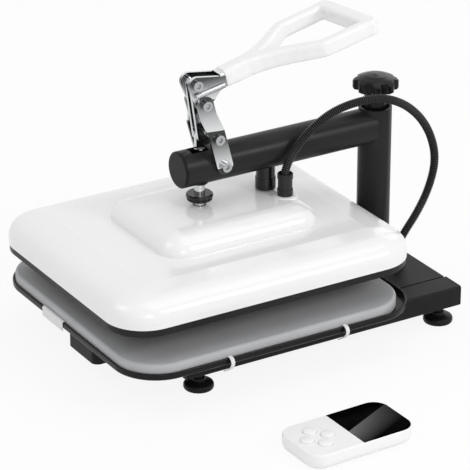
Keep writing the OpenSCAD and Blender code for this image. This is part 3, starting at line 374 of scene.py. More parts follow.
def mottled_skin():
    """Paint or moulded plastic: a slow drift of colour and gloss over a fine skin."""
    def wire(tree, given):
        place = own_place(tree)
        slow = noise(tree, place, given["Mottle Scale"], 5)
        drift = spread(tree, slow, 0.0, 1.0)
        return (two_colours(tree, drift, given["Colour"], given["Drift"]),
                spread(tree, slow, given["Gloss Low"], given["Gloss High"]),
                noise(tree, place, given["Grain Scale"], 3))
    return skin_group("mottled_skin", wire, Gloss_Low=0.3, Gloss_High=0.4, Mottle_Scale=20,
                      Grain_Scale=800)


def drawn_metal():
    """Metal with fine streaks: noise stretched along one direction drives its gloss."""
    def wire(tree, given):
        place = own_place(tree)
        stretch = tree.nodes.new("ShaderNodeMapping")
        tree.links.new(place, stretch.inputs["Vector"])
        tree.links.new(given["Streak"], stretch.inputs["Scale"])
        streak = noise(tree, stretch.outputs["Vector"], 1.0, 4)
        smudge = noise(tree, place, given["Smudge Scale"], 5)
        worn = calculated(tree, "MULTIPLY", streak, spread(tree, smudge, 0.6, 1.3))
        drift = spread(tree, worn, 0.0, 1.0, 0.2, 0.8)
        return (two_colours(tree, drift, given["Colour"], given["Drift"]),
                spread(tree, worn, given["Gloss Low"], given["Gloss High"], 0.2, 0.8), streak)
    return skin_group("drawn_metal", wire, Gloss_Low=0.15, Gloss_High=0.3, Streak=(2000, 2000, 40),
                      Smudge_Scale=60)


def painted_reflection_plate():
    """Plating with painted reflection: level faces painted bright, upright ones painted dark to bright in
    bands.
    """
    def wire(tree, given):
        where = tree.nodes.new("ShaderNodeTexCoord").outputs
        smudge = noise(tree, where["Object"], given["Smudge Scale"], 4)
        band = wave(tree, where["Object"], "Z", given["Band Scale"], 0.3)
        band.wave_profile = "SAW"
        band.inputs["Detail"].default_value = 0.0
        tree.links.new(given["Band Start"], band.inputs["Phase Offset"])
        level = calculated(tree, "ABSOLUTE", split(tree, where["Normal"])["Z"])
        # Painted reflection: bright on level faces, dark-to-bright bands on upright faces
        bright = calculated(tree, "MAXIMUM", spread(tree, level, 0.0, 1.0, 0.3, 0.8),
                            spread(tree, band.outputs["Fac"], 0.0, 1.0, 0.22, 1.0))
        return (two_colours(tree, bright, given["Drift"], given["Colour"]),
                spread(tree, smudge, given["Gloss Low"], given["Gloss High"]), smudge)
    return skin_group("painted_reflection_plate", wire, Gloss_Low=0.08, Gloss_High=0.2, Band_Scale=7,
                      Band_Start=0, Smudge_Scale=60)


def woven_band():
    """Plain weave: two crossed waves give the threads their height and tint."""
    def wire(tree, given):
        place = own_place(tree)
        across, along = (wave(tree, place, axis, given["Thread Scale"], 0.6) for axis in "XZ")
        thread = calculated(tree, "MAXIMUM", across.outputs["Fac"], along.outputs["Fac"])
        return (two_colours(tree, thread, given["Drift"], given["Colour"]),
                spread(tree, thread, 0.9, 0.75, 0.0, 1.0), thread)
    return skin_group("woven_band", wire, Thread_Scale=900)


def painted_rib_highlights():
    """Black ribbed hose with a painted highlight: the crests of its ribs are painted lighter than its
    grooves.
    """
    def wire(tree, given):
        crest = tree.nodes.new("ShaderNodeAttribute")
        crest.attribute_name = CREST
        smear = noise(tree, own_place(tree), 90.0, 3)
        # Painted highlight: crests lighter than grooves
        crest_highlight = spread(tree, crest.outputs["Fac"], 0.0, 1.0, 0.45, 0.95)
        return (two_colours(tree, crest_highlight, given["Colour"], given["Drift"]),
                spread(tree, smear, given["Gloss Low"], given["Gloss High"]), smear)
    return skin_group("painted_rib_highlights", wire, Gloss_Low=0.2, Gloss_High=0.3)


def painted_sheen_glass():
    """Dark glass with a painted diagonal sheen that starts at a sharp line and fades out."""
    def wire(tree, given):
        place = own_place(tree)
        line = tree.nodes.new("ShaderNodeMapping")
        line.vector_type = "TEXTURE"
        for source, label in ((place, "Vector"), (given["Place"], "Location"),
                              (given["Turn"], "Rotation")):
            tree.links.new(source, line.inputs[label])
        from_line = split(tree, line.outputs["Vector"])
        edge = spread(tree, from_line["X"], 0.0, 1.0, 0.0, SHEEN_EDGE)
        fade = spread(tree, from_line["X"], 1.0, 0.0, 0.0, SHEEN_WIDTH)
        run = spread(tree, from_line["Y"], 1.0, 0.25, 0.0, SHEEN_LENGTH)
        sheen = calculated(tree, "MULTIPLY", calculated(tree, "MULTIPLY", edge, fade), run)
        smear = noise(tree, place, 40.0, 3)
        return (two_colours(tree, sheen, given["Colour"], given["Drift"]),
                spread(tree, smear, 0.05, 0.1), smear)
    return skin_group("painted_sheen_glass", wire, Place=(0, 0, 0), Turn=(0, 0, 0))


# Finishes

# Depths of the bump on paint, on woven bands and on metal, in metres
PAINT_DEPTH, WEAVE_DEPTH, METAL_DEPTH = 0.0002, 0.0001, 0.00005

# The Wave node repeats its bands every tau / 20 of its scaled length
WAVE_STEP = math.tau / 20


def finish(name, group, values, bump, reach=PAINT_DEPTH, **plain):
    """A material with its colour, gloss and skin from a group; plain values go on the shader itself."""
    if name in bpy.data.materials:
        return bpy.data.materials[name]
    material = bpy.data.materials.new(name)
    material.use_nodes = True
    tree = material.node_tree
    shader = tree.nodes["Principled BSDF"]
    skin = tree.nodes.new("ShaderNodeGroup")
    skin.node_tree = group
    for label, value in values.items():
        skin.inputs[label].default_value = (*value, 1) if label in ("Colour", "Drift") else value
    lift = tree.nodes.new("ShaderNodeBump")
    lift.inputs["Strength"].default_value = bump
    lift.inputs["Distance"].default_value = reach
    tree.links.new(skin.outputs["Colour"], shader.inputs["Base Color"])
    tree.links.new(skin.outputs["Roughness"], shader.inputs["Roughness"])
    tree.links.new(skin.outputs["Height"], lift.inputs["Height"])
    tree.links.new(lift.outputs["Normal"], shader.inputs["Normal"])
    for label, value in plain.items():
        shader.inputs[label.replace("_", " ")].default_value = value
    material.diffuse_color = (*values["Colour"], 1)
    return material


def painted(name, colour, drift, gloss, mottle, grain, bump, **plain):
    """Painted or moulded finish: two colours, range of roughness, scales of mottle and grain, bump."""
    return finish(name, mottled_skin(), {
        "Colour": colour, "Drift": drift, "Gloss Low": gloss[0], "Gloss High": gloss[1],
        "Mottle Scale": mottle, "Grain Scale": grain}, bump, **plain)


def metal(name, colour, gloss, streak, smudge, bump):
    """Bare metal finish: colour, range of roughness, scales of its streaks and smudges, bump."""
    return finish(name, drawn_metal(), {
        "Colour": colour, "Drift": lighter(colour, -0.12),
        "Gloss Low": gloss[0], "Gloss High": gloss[1],
        "Streak": streak, "Smudge Scale": smudge}, bump, reach=METAL_DEPTH, Metallic=1.0)


def plated(name, colour, shade, gloss, band):
    """Plating with painted reflection; each painted band is dark at its top and brightens downwards, lengths
    in metres.
    """
    period, dark_at = band
    return finish(name, painted_reflection_plate(), {
        "Colour": colour, "Drift": lighter(colour, -shade),
        "Gloss Low": gloss[0], "Gloss High": gloss[1],
        "Band Scale": -WAVE_STEP / period, "Band Start": math.tau * dark_at / period},
        0.0, reach=METAL_DEPTH, Metallic=1.0)


def finishes(scene):
    """Every finish of the press by its plain name."""
    tone = scene.press_colours
    shell, coat, satin, pad, plate = (
        tuple(colour) for colour in (tone.shell, tone.frame, tone.column, tone.pad, tone.chrome))
    return {
        "shell": painted("gloss_white", shell, lighter(shell, -0.02), (0.15, 0.22), 9, 500, 0.015,
                         Coat_Weight=0.3, Coat_Roughness=0.08),
        "grip": painted("grip_white", lighter(shell, 0.1), shell, (0.22, 0.32), 14, 900, 0.03),
        "control": painted("control_white", lighter(shell, 0.1), shell, (0.3, 0.4), 20, 1500, 0.05),
        "key": painted("key_moulding", lighter(shell, 0.05), lighter(shell, -0.02), (0.3, 0.42), 60,
                       1500, 0.04),
        "frame": painted("frame_powder_coat", coat, lighter(coat, 0.006), (0.38, 0.5), 30, 1700, 0.08,
                         IOR=1.22),
        "column": painted("column_satin", satin, lighter(satin, 0.006), (0.3, 0.38), 12, 1500, 0.04,
                          IOR=1.24),
        "tray": painted("tray_enamel", lighter(coat, -0.3), coat, (0.2, 0.3), 14, 1300, 0.04, IOR=1.26),
        "plastic": painted("moulded_black", lighter(coat, -0.25), coat, (0.34, 0.46), 40, 2200, 0.08,
                           IOR=1.24),
        "knob": painted("knob_black", lighter(coat, -0.3), coat, (0.16, 0.24), 30, 2000, 0.04,
                        IOR=1.27),
        "gland": painted("gland_black", lighter(coat, -0.3), coat, (0.14, 0.22), 30, 2000, 0.04,
                         IOR=1.44),
        # The conduit's lighter rib crests are a painted highlight
        "conduit": finish("conduit_nylon", painted_rib_highlights(), {
            "Colour": (0.003, 0.003, 0.003), "Drift": (0.05, 0.05, 0.052),
            "Gloss Low": 0.18, "Gloss High": 0.3}, 0.0, IOR=1.28),
        "pad": painted("pad_silicone_skin", pad, lighter(pad, -0.08), (0.62, 0.8), 26, 2600, 0.2),
        "plate": painted("plate_coating", (0.010, 0.010, 0.011), (0.016, 0.016, 0.017), (0.3, 0.42), 22,
                         2000, 0.06, IOR=1.28),
        # The screen's diagonal sheen is painted into its colour
        "screen": finish("screen_glass", painted_sheen_glass(), {
            "Colour": (0.001, 0.001, 0.001), "Drift": (0.15, 0.15, 0.155),
            "Place": PRESS + Vector(SHEEN_FOOT), "Turn": (0, 0, SHEEN_TURN)}, 0.0, IOR=1.03),
        "switch": painted("switch_lens", (0.32, 0.02, 0.018), (0.27, 0.018, 0.016), (0.25, 0.35), 60,
                          1800, 0.05),
        "green": painted("board_lacquer", (0.02, 0.16, 0.06), (0.03, 0.2, 0.08), (0.4, 0.55), 120,
                         2500, 0.1),
        "fibre": painted("board_fibre", (0.62, 0.6, 0.54), (0.7, 0.68, 0.62), (0.8, 0.95), 90,
                         1200, 0.5),
        # Chrome and plated strips carry a painted reflection: bright level faces, dark-to-bright bands on
        # upright faces
        "chrome": plated("lever_chrome", plate, 0.88, (0.16, 0.28), LEVER_REFLECTION_BAND),
        "plated": plated("plated_strip", lighter(plate, 0.15), 0.92, (0.1, 0.2), STRIP_REFLECTION_BAND),
        "rod": metal("rod_chrome", lighter(plate, -0.1), (0.05, 0.12), (900, 900, 60), 50, 0.0),
        "bolt": metal("bolt_steel", lighter(plate, -0.35), (0.12, 0.24), (900, 900, 900), 200, 0.02),
        "steel": metal("steel_plain", (0.42, 0.43, 0.45), (0.28, 0.45), (1600, 90, 900), 80, 0.06),
        "bronze": metal("bronze_turned", (0.5, 0.36, 0.16), (0.25, 0.4), (90, 90, 2400), 80, 0.05),
        "band": finish("band_white", woven_band(), {
            "Colour": (0.84, 0.84, 0.84), "Drift": (0.74, 0.74, 0.74), "Thread Scale": 420.0},
            0.3, reach=WEAVE_DEPTH),
    }


# Modelling helpers; lengths in millimetres of the press frame until a piece is settled

def edges_of(geometry):
    """The edges among the given elements."""
    return [g for g in geometry if isinstance(g, bmesh.types.BMEdge)]


def verts_of(geometry):
    """The vertices among the given elements."""
    return [g for g in geometry if isinstance(g, bmesh.types.BMVert)]


def chain(bm, points):
    """Vertices joined in a row by edges."""
    verts = [bm.verts.new(p) for p in points]
    return verts + [bm.edges.new(pair) for pair in zip(verts, verts[1:])]


def grown(bm, edges):
    """Extrudes a row of edges in place and hands over its new vertices and edges."""
    geometry = bmesh.ops.extrude_edge_only(bm, edges=edges)["geom"]
    verts = verts_of(geometry)
    fresh = set(verts)
    return verts, [e for e in edges_of(geometry) if all(v in fresh for v in e.verts)]


def fill_holes(bm):
    """Closes the open ends of a shape."""
    bmesh.ops.holes_fill(bm, edges=[e for e in bm.edges if e.is_boundary])


def face_out(bm):
    """Turns the faces of a shape outwards."""
    bmesh.ops.recalc_face_normals(bm, faces=bm.faces[:])


def turned(profile, centre):
    """Spins an open profile of (radius, height) round an upright axis."""
    bm = bmesh.new()
    bmesh.ops.spin(bm, geom=chain(bm, [(r, 0, z) for r, z in profile]), cent=(0, 0, 0), axis=(0, 0, 1),
                   dvec=(0, 0, 0), angle=math.tau, steps=RING_STEPS, use_merge=True, use_duplicate=False)
    bmesh.ops.remove_doubles(bm, verts=bm.verts[:], dist=SHAPE_MERGE)
    face_out(bm)
    bmesh.ops.translate(bm, verts=bm.verts[:], vec=(*centre, 0))
    return bm


def carried_round(profile, width, length, radius, centre, steps):
    """Carries an edge profile of (inset, height) round a rectangle with round corners and closes it."""
    bm = bmesh.new()
    x, y = width / 2 - radius, length / 2 - radius
    moving = chain(bm, [(x, -y - radius + inset, z) for inset, z in profile])
    for corner, run in (((x, -y), (0, 2 * y)), ((x, y), (-2 * x, 0)),
                        ((-x, y), (0, -2 * y)), ((-x, -y), (2 * x, 0))):
        last = bmesh.ops.spin(bm, geom=moving, cent=(*corner, 0), axis=(0, 0, 1), dvec=(0, 0, 0),
                              angle=math.pi / 2, steps=steps, use_duplicate=False)["geom_last"]
        verts, edges = grown(bm, edges_of(last))
        bmesh.ops.translate(bm, verts=verts, vec=(*run, 0))
        moving = verts + edges
    bmesh.ops.remove_doubles(bm, verts=bm.verts[:], dist=SHAPE_MERGE)
    fill_holes(bm)
    face_out(bm)
    bmesh.ops.translate(bm, verts=bm.verts[:], vec=(*centre, 0))
    return bm


def drawn_along(places, sides):
    """Draws a unit circle through a row of placement matrices, ring after ring."""
    bm = bmesh.new()
    ring = bmesh.ops.create_circle(bm, cap_ends=False, radius=1.0, segments=sides,
                                   matrix=places[0])["verts"]
    edges = list(dict.fromkeys(e for v in ring for e in v.link_edges))
    for before, after in zip(places, places[1:]):
        verts, edges = grown(bm, edges)
        bmesh.ops.transform(bm, matrix=after @ before.inverted(), verts=verts)
    return bm


def smooth_line(points, spacing):
    """Points at about equal spacing on a smooth curve through the given ones."""
    points = [Vector(p) for p in points]
    line = []
    for k in range(len(points) - 1):
        a, b, c, d = (points[min(max(k + j, 0), len(points) - 1)] for j in (-1, 0, 1, 2))
        count = max(1, round((c - b).length / spacing))
        for j in range(count):
            t = j / count
            line.append(0.5 * (2 * b + (c - a) * t + (2 * a - 5 * b + 4 * c - d) * t * t
                               + (3 * b - a - 3 * c + d) * t * t * t))
    return line + [points[-1]]


def length_of(line):
    """Length of a row of points."""
    return sum((b - a).length for a, b in zip(line, line[1:]))


def shaded(mesh, angle):
    """Shades a mesh smooth, with edges past an angle left sharp."""
    mesh.polygons.foreach_set("use_smooth", [True] * len(mesh.polygons))
    mesh.set_sharp_from_angle(angle=math.radians(angle))


def settled(name, bm, material, body=None, stands_for=(), metres=False, smooth=SHARP_ANGLE):
    """Makes a bmesh a piece; millimetres of the press frame become metres of the part's frame."""
    if not metres:
        bmesh.ops.scale(bm, vec=(0.001, 0.001, 0.001), verts=bm.verts[:])
        bmesh.ops.translate(bm, vec=PRESS, verts=bm.verts[:])
    mesh = bpy.data.meshes.new(name)
    bm.to_mesh(mesh)
    bm.free()
    shaded(mesh, smooth)
    mesh.materials.append(material)
    piece = bpy.data.objects.new(name, mesh)
    bpy.context.scene.collection.objects.link(piece)
    if body:
        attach(piece, body)
    if stands_for:
        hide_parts(*stands_for)
    return piece


def baked(piece):
    """Replaces a piece's mesh by what its modifiers make of it."""
    bpy.context.view_layer.update()
    shape = piece.evaluated_get(bpy.context.evaluated_depsgraph_get())
    mesh = bpy.data.meshes.new_from_object(shape)
    old = piece.data
    piece.modifiers.clear()
    piece.data = mesh
    bpy.data.meshes.remove(old)
    shaded(mesh, SHARP_ANGLE)
    return piece


def drilled(piece, cutters):
    """Cuts the given solids out of a piece."""
    for bm in cutters:
        tool = settled("cutter", bm, piece.data.materials[0])
        cut = piece.modifiers.new("cut", "BOOLEAN")
        cut.operation = "DIFFERENCE"
        cut.solver = "EXACT"
        cut.object = tool
        baked(piece)
        bpy.data.objects.remove(tool)
    return piece


def weighted(piece):
    """Lets the broad faces of a piece lead its shading."""
    piece.modifiers.new("shading", "WEIGHTED_NORMAL").keep_sharp = True
    return piece


def copy_of(node):
    """A copy of a frame node with its loose triangles merged, in metres."""
    bm = bmesh.new()
    bm.from_mesh(frame["nodes"][node].data)
    bmesh.ops.remove_doubles(bm, verts=bm.verts[:], dist=NODE_MERGE)
    return bm


def dressed(node, material, body, width, angle=EDGE_ANGLE, segments=2):
    """A copy of a frame node in its place, with its edges rounded to a width in millimetres."""
    bm = copy_of(node)
    bmesh.ops.dissolve_limit(bm, angle_limit=math.radians(FLAT_ANGLE), verts=bm.verts[:],
                             edges=bm.edges[:])
    limit = math.radians(angle)
    sharp = [e for e in bm.edges if len(e.link_faces) == 2 and e.calc_face_angle(0.0) > limit]
    bmesh.ops.bevel(bm, geom=sharp, offset=width / 1000, offset_type="OFFSET", affect="EDGES",
                    segments=segments, profile=0.5, material=-1, clamp_overlap=True)
    piece = settled(node + "_dressed", bm, material, body, (node,), metres=True, smooth=angle)
    return weighted(piece)


def moulded(node, material, body, cell, rounds):
    """A copy of a frame node in its place, cast into one soft-edged skin."""
    piece = settled(node + "_moulded", copy_of(node), material, body, (node,), metres=True)
    cast = piece.modifiers.new("cast", "REMESH")
    cast.mode = "VOXEL"
    cast.voxel_size = cell
    baked(piece)
    bm = bmesh.new()
    bm.from_mesh(piece.data)
    for share in EASE_AND_FILL * rounds:
        bmesh.ops.smooth_vert(bm, verts=bm.verts[:], factor=share,
                              use_axis_x=True, use_axis_y=True, use_axis_z=True)
    bm.to_mesh(piece.data)
    bm.free()


def coated(nodes, material):
    """Gives frame nodes that keep their own shape a finish."""
    for node in nodes:
        mesh = frame["nodes"][node].data
        mesh.materials.clear()
        mesh.materials.append(material)


def lid(edge, low, wall):
    """Profile of a shell on a smooth edge curve, from its inner top over its foot to its outer top."""
    curve = [(p.x, p.y) for p in smooth_line([(inset, z, 0) for inset, z in edge], EDGE_SPACING)]
    reach, top = edge[-1]
    inner = [(inset + wall, low + z - wall) for inset, z in reversed(curve)
             if z > wall + FOOT_ROOM and inset + wall < reach - TOP_ROOM]
    outer = [(inset, low + z) for inset, z in curve]
    return [(reach, low + top - wall)] + inner + [(wall, low)] + outer


def upright_hole(centre, radius, low, high):
    """Round cutter for an upright hole."""
    bm = bmesh.new()
    bmesh.ops.create_cone(bm, cap_ends=True, segments=HOLE_SIDES, radius1=radius, radius2=radius,
                          depth=high - low, matrix=Matrix.Translation((*centre, (low + high) / 2)))
    return bm


# Stage

class HEATPRESS_OT_stage(bpy.types.Operator):
    """Camera, pale floor and soft studio light"""

    bl_idname = "heatpress.stage"
    bl_label = "Stage"

    def execute(self, context):
        scene = context.scene
        scene.view_settings.view_transform = "Standard"
        self.camera(scene)
        self.floor(scene)
        self.lamps(scene)
        self.sky(scene)
        return {"FINISHED"}

    def camera(self, scene):
        """Camera at the photograph's viewing angle."""
        azimuth, rise = math.radians(VIEW_AZIMUTH), math.radians(VIEW_ELEVATION)
        back = Vector((math.sin(azimuth) * math.cos(rise), -math.cos(azimuth) * math.cos(rise),
                       math.sin(rise)))
        lens = bpy.data.cameras.new("camera")
        lens.lens = VIEW_LENS
        lens.sensor_width = VIEW_SENSOR
        lens.shift_x, lens.shift_y = VIEW_SHIFT
        lens.clip_end = VIEW_REACH
        camera = bpy.data.objects.new("camera", lens)
        camera.location = PRESS + Vector(VIEW_TARGET) + back * VIEW_DISTANCE
        camera.rotation_euler = back.to_track_quat("Z", "Y").to_euler()
        scene.collection.objects.link(camera)
        scene.camera = camera

    def floor(self, scene):
        """Pale floor that keeps the shadow of the press."""
        bm = bmesh.new()
        bmesh.ops.create_grid(bm, x_segments=1, y_segments=1, size=FLOOR_SIZE)
        mesh = bpy.data.meshes.new("floor")
        bm.to_mesh(mesh)
        bm.free()
        pale = bpy.data.materials.new("floor_pale")
        pale.use_nodes = True
        tree = pale.node_tree
        shader = tree.nodes["Principled BSDF"]
        shader.inputs["Base Color"].default_value = FLOOR_TONE
        shader.inputs["Roughness"].default_value = FLOOR_DULLNESS
        glow = tree.nodes.new("ShaderNodeEmission")
        glow.inputs["Color"].default_value = WHITE
        mix = tree.nodes.new("ShaderNodeMixShader")
        share = calculated(tree, "MULTIPLY", self.seen(tree), FLOOR_WHITE)
        for source, socket in zip((share, shader.outputs[0], glow.outputs[0]), mix.inputs):
            tree.links.new(source, socket)
        tree.links.new(mix.outputs[0], tree.nodes["Material Output"].inputs["Surface"])
        mesh.materials.append(pale)
        floor = bpy.data.objects.new("floor", mesh)
        scene.collection.objects.link(floor)

    def lamps(self, scene):
        """Soft round lamps on all sides of the press."""
        for name, place, size, power in LAMPS:
            light = bpy.data.lights.new(name, "AREA")
            light.shape = "DISK"
            light.size = size
            light.energy = power
            lamp = bpy.data.objects.new(name, light)
            lamp.location = place
            lamp.rotation_euler = (Vector(place) - Vector(LAMP_AIM)).to_track_quat("Z", "Y").to_euler()
            lamp.visible_camera = False
            scene.collection.objects.link(lamp)

    def sky(self, scene):
        """Even light from all round, plain white where it is seen."""
        world = bpy.data.worlds.new("studio")
        world.use_nodes = True
        scene.world = world
        tree = world.node_tree
        ground = tree.nodes["Background"]
        ground.inputs["Color"].default_value = WHITE
        share = spread(tree, self.seen(tree), SKY_LIGHT, 1.0, 0.0, 1.0)
        tree.links.new(share, ground.inputs["Strength"])

    def seen(self, tree):
        """One where the camera, a reflection or a view through glass meets the backdrop."""
        rays = tree.nodes.new("ShaderNodeLightPath").outputs
        mirrored = calculated(tree, "MAXIMUM", rays["Is Glossy Ray"], rays["Is Transmission Ray"])
        return calculated(tree, "MAXIMUM", rays["Is Camera Ray"], mirrored)


# Cord

class HEATPRESS_OT_conduit(bpy.types.Operator):
    """Ribbed conduit from the platen over the arm to the rear box"""

    bl_idname = "heatpress.conduit"
    bl_label = "Conduit"

    def execute(self, context):
        sizes = context.scene.press_sizes
        line = smooth_line([PRESS + Vector(p) for p in CONDUIT_ROUTE], sizes.rib_pitch / RINGS_PER_RIB)
        ribs = round(length_of(line) / sizes.rib_pitch)
        beats = [math.cos(math.tau * ribs * k / (len(line) - 1)) for k in range(len(line))]
        places = []
        for k, point in enumerate(line):
            run = (line[min(k + 1, len(line) - 1)] - line[max(k - 1, 0)]).normalized()
            side = (Vector((1, 0, 0)) - run.x * run).normalized()
            turn = Matrix((side, run.cross(side), run)).transposed().to_4x4()
            radius = CONDUIT_WIDTH / 2 - sizes.rib_depth * (0.5 - 0.5 * beats[k]) ** 2
            places.append(Matrix.Translation(point) @ turn @ Matrix.Diagonal((radius, radius, 1, 1)))
        bm = drawn_along(places, RING)
        crest = bm.verts.layers.float.new(CREST)
        for count, vert in enumerate(bm.verts):
            vert[crest] = 0.5 + 0.5 * beats[count // RING]
        fill_holes(bm)
        face_out(bm)
        hose = settled("conduit_hose", bm, finishes(context.scene)["conduit"], None, ("conduit",),
                       metres=True, smooth=SOFT_ANGLE)
        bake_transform(hose)
        return {"FINISHED"}


# Platen

class HEATPRESS_OT_platen(bpy.types.Operator):
    """White housing, raised centre cover, heating plate and the pieces between them"""

    bl_idname = "heatpress.platen"
    bl_label = "Platen"

    def execute(self, context):
        sizes = context.scene.press_sizes
        looks = finishes(context.scene)
        self.housing(looks, sizes)
        self.cover(looks, sizes)
        self.gland_ring(looks)
        coated(["heating_element", "thermocouple", "rod_mount_plate", "platen_screws"], looks["steel"])
        coated(["insulation_board"], looks["fibre"])
        coated(["thermal_cutout"], looks["plastic"])
        dressed("heating_plate", looks["plate"], "platen", width=0.8, angle=40,
                segments=3)
        return {"FINISHED"}

    def housing(self, looks, sizes):
        """White housing with an opening under its centre cover."""
        low, high = corners("platen_housing")
        edge = lid(HOUSING_EDGE, low.z, sizes.shell_wall * 1000)
        bm = carried_round(edge, high.x - low.x, high.y - low.y, HOUSING_CORNER, (0, 0),
                           sizes.corner_steps)
        housing = settled("housing_shell", bm, looks["shell"], "platen", ("platen_housing",))
        opening = carried_round([(0, low.z + OPENING_FOOT), (0, high.z + OPENING_REACH)], *OPENING,
                                OPENING_CENTRE, OPENING_STEPS)
        weighted(drilled(housing, [opening]))

    def cover(self, looks, sizes):
        """Raised cover with holes for the rods and the gland."""
        low, high = corners("centre_cover")
        edge = lid(COVER_EDGE, low.z, sizes.shell_wall * 1000)
        bm = carried_round(edge, high.x - low.x, high.y - low.y, COVER_CORNER, middle(low, high),
                           sizes.corner_steps)
        cover = settled("cover_shell", bm, looks["shell"], "platen", ("centre_cover",))
        holes = [upright_hole(middle(*corners(node)), radius, low.z + HOLE_OFFSET, high.z + HOLE_OFFSET)
                 for node, radius in COVER_HOLES.items()]
        weighted(drilled(cover, holes))

    def gland_ring(self, looks):
        """Raised ring that the gland stands in."""
        low, high = corners("platen_gland")
        ring = turned([(r, low.z + RING_TOP + z) for r, z in GLAND_RING], middle(low, high))
        settled("gland_blister", ring, looks["shell"], "platen", ())


# Lower pad and tray

class HEATPRESS_OT_pad(bpy.types.Operator):
    """Soft grey pad with a rolled edge"""

    bl_idname = "heatpress.pad"
    bl_label = "Pad"

    def execute(self, context):
        looks = finishes(context.scene)
        low, high = corners("silicone_pad")
        shoulder = high.z - PAD_FALL
        edge = [(inset, low.z + PAD_LIFT + z) for inset, z in PAD_FOOT]
        for k in range(PAD_STEPS + 1):
            a = math.pi / 2 * k / PAD_STEPS
            edge.append((PAD_ROLL * (1 - math.cos(a)), shoulder - PAD_ROLL * (1 - math.sin(a))))
        edge += [(inset, high.z + z) for inset, z in PAD_CROWN]
        bm = carried_round(edge, high.x - low.x, high.y - low.y, PAD_CORNER, middle(low, high),
                           context.scene.press_sizes.corner_steps)
        pad = settled("pad_silicone", bm, looks["pad"], "base", ("silicone_pad",),
                      smooth=ROLL_ANGLE)
        weighted(pad)
        return {"FINISHED"}


class HEATPRESS_OT_tray(bpy.types.Operator):
    """Lower tray with a rolled rim, the bands over it and the blank tag on its front"""

    bl_idname = "heatpress.tray"
    bl_label = "Tray"

    def execute(self, context):
        looks = finishes(context.scene)
        low, high = corners("lower_tray")
        rim = TRAY_WALL / 2
        edge = [(inset, low.z + z) for inset, z in TRAY_FOOT]
        for k in range(RIM_STEPS + 1):
            a = math.pi * k / RIM_STEPS
            edge.append((rim * (1 - math.cos(a)), high.z - rim + rim * math.sin(a)))
        edge += [(inset, low.z + TRAY_FLOOR + z) for inset, z in TRAY_BED]
        bm = carried_round(edge, high.x - low.x, high.y - low.y, TRAY_CORNER, middle(low, high),
                           context.scene.press_sizes.corner_steps)
        weighted(settled("tray_pan", bm, looks["tray"], "base", ("lower_tray",),
                         smooth=ROLL_ANGLE))
        dressed("pad_straps", looks["band"], "base", width=0.35, angle=20)
        self.tag(looks)
        return {"FINISHED"}

    def tag(self, looks):
        """Blank woven tag folded over the rim."""
        low, high = corners("rim_label")
        front, top = low.y + TAG_THICK / 2, high.z - TAG_THICK / 2
        rows = [(high.y - TAG_BACK, top), (low.y + TAG_BEND, top)]
        for k in range(TAG_STEPS + 1):
            a = math.pi / 2 * k / TAG_STEPS
            rows.append((front + TAG_FOLD * (1 - math.sin(a)), top - TAG_FOLD * (1 - math.cos(a))))
        rows += [(front, high.z - drop) for drop in TAG_DROPS] + [(front, low.z + rise) for rise in TAG_ENDS]
        bm = bmesh.new()
        edges = edges_of(chain(bm, [(low.x, y, z) for y, z in rows]))
        for _ in range(TAG_COLUMNS):
            verts, edges = grown(bm, edges)
            bmesh.ops.translate(bm, verts=verts, vec=((high.x - low.x) / TAG_COLUMNS, 0, 0))
        face_out(bm)
        tag = settled("rim_tag", bm, looks["band"], "base", ("rim_label",), smooth=SOFT_ANGLE)
        thicken = tag.modifiers.new("thickness", "SOLIDIFY")
        thicken.thickness = TAG_THICK / 1000
        thicken.offset = 0
        baked(tag)


# Lever and handle

class HEATPRESS_OT_grip(bpy.types.Operator):
    """White loop grip, moulded in one piece"""

    bl_idname = "heatpress.grip"
    bl_label = "Loop grip"

    def execute(self, context):
        looks = finishes(context.scene)
        cell = context.scene.press_sizes.mould_cell
        moulded("handle_grip", looks["grip"], "lever", cell, GRIP_ROUNDS)
        return {"FINISHED"}


class HEATPRESS_OT_lever(bpy.types.Operator):
    """Chromed fork, link, brackets and bolts of the lever"""

    bl_idname = "heatpress.lever"
    bl_label = "Lever"

    def execute(self, context):
        looks = finishes(context.scene)
        dressed("lever_fork", looks["chrome"], "lever", width=0.45)
        dressed("crank_bolts", looks["bolt"], "lever", width=0.5)
        dressed("toggle_link", looks["rod"], "link", width=0.4)
        for node in ("bracket_left", "bracket_right"):
            dressed(node, looks["plated"], "arm", width=0.6)
        for node in ("bracket_bolts", "pivot_bolts"):
            dressed(node, looks["bolt"], "arm", width=0.5)
        coated(["pressure_rod", "guide_rod"], looks["rod"])
        return {"FINISHED"}


# Arm, column and knob

class HEATPRESS_OT_arm(bpy.types.Operator):
    """Column, arm, end cap, guide sleeve, pressure nut, platen gland and the pivot inside the column"""

    bl_idname = "heatpress.arm"
    bl_label = "Arm"

    def execute(self, context):
        looks = finishes(context.scene)
        dressed("column_tube", looks["column"], "arm", width=0.5)
        coated(["arm_tube"], looks["column"])
        dressed("arm_end_cap", looks["plastic"], "arm", width=0.5)
        dressed("guide_sleeve", looks["gland"], "arm", width=0.5)
        dressed("pressure_nut", looks["gland"], "nut", width=0.25)
        dressed("platen_gland", looks["gland"], "platen", width=0.6)
        coated(["column_bushes", "thrust_washer"], looks["bronze"])
        coated(["rod_bush"], looks["plastic"])
        coated(["pivot_post"], looks["steel"])
        return {"FINISHED"}


class HEATPRESS_OT_knob(bpy.types.Operator):
    """Lobed clamping knob on top of the column"""

    bl_idname = "heatpress.knob"
    bl_label = "Star knob"

    def execute(self, context):
        looks = finishes(context.scene)
        moulded("star_knob", looks["knob"], "knob", KNOB_CELL, KNOB_ROUNDS)
        return {"FINISHED"}


# Base and control box

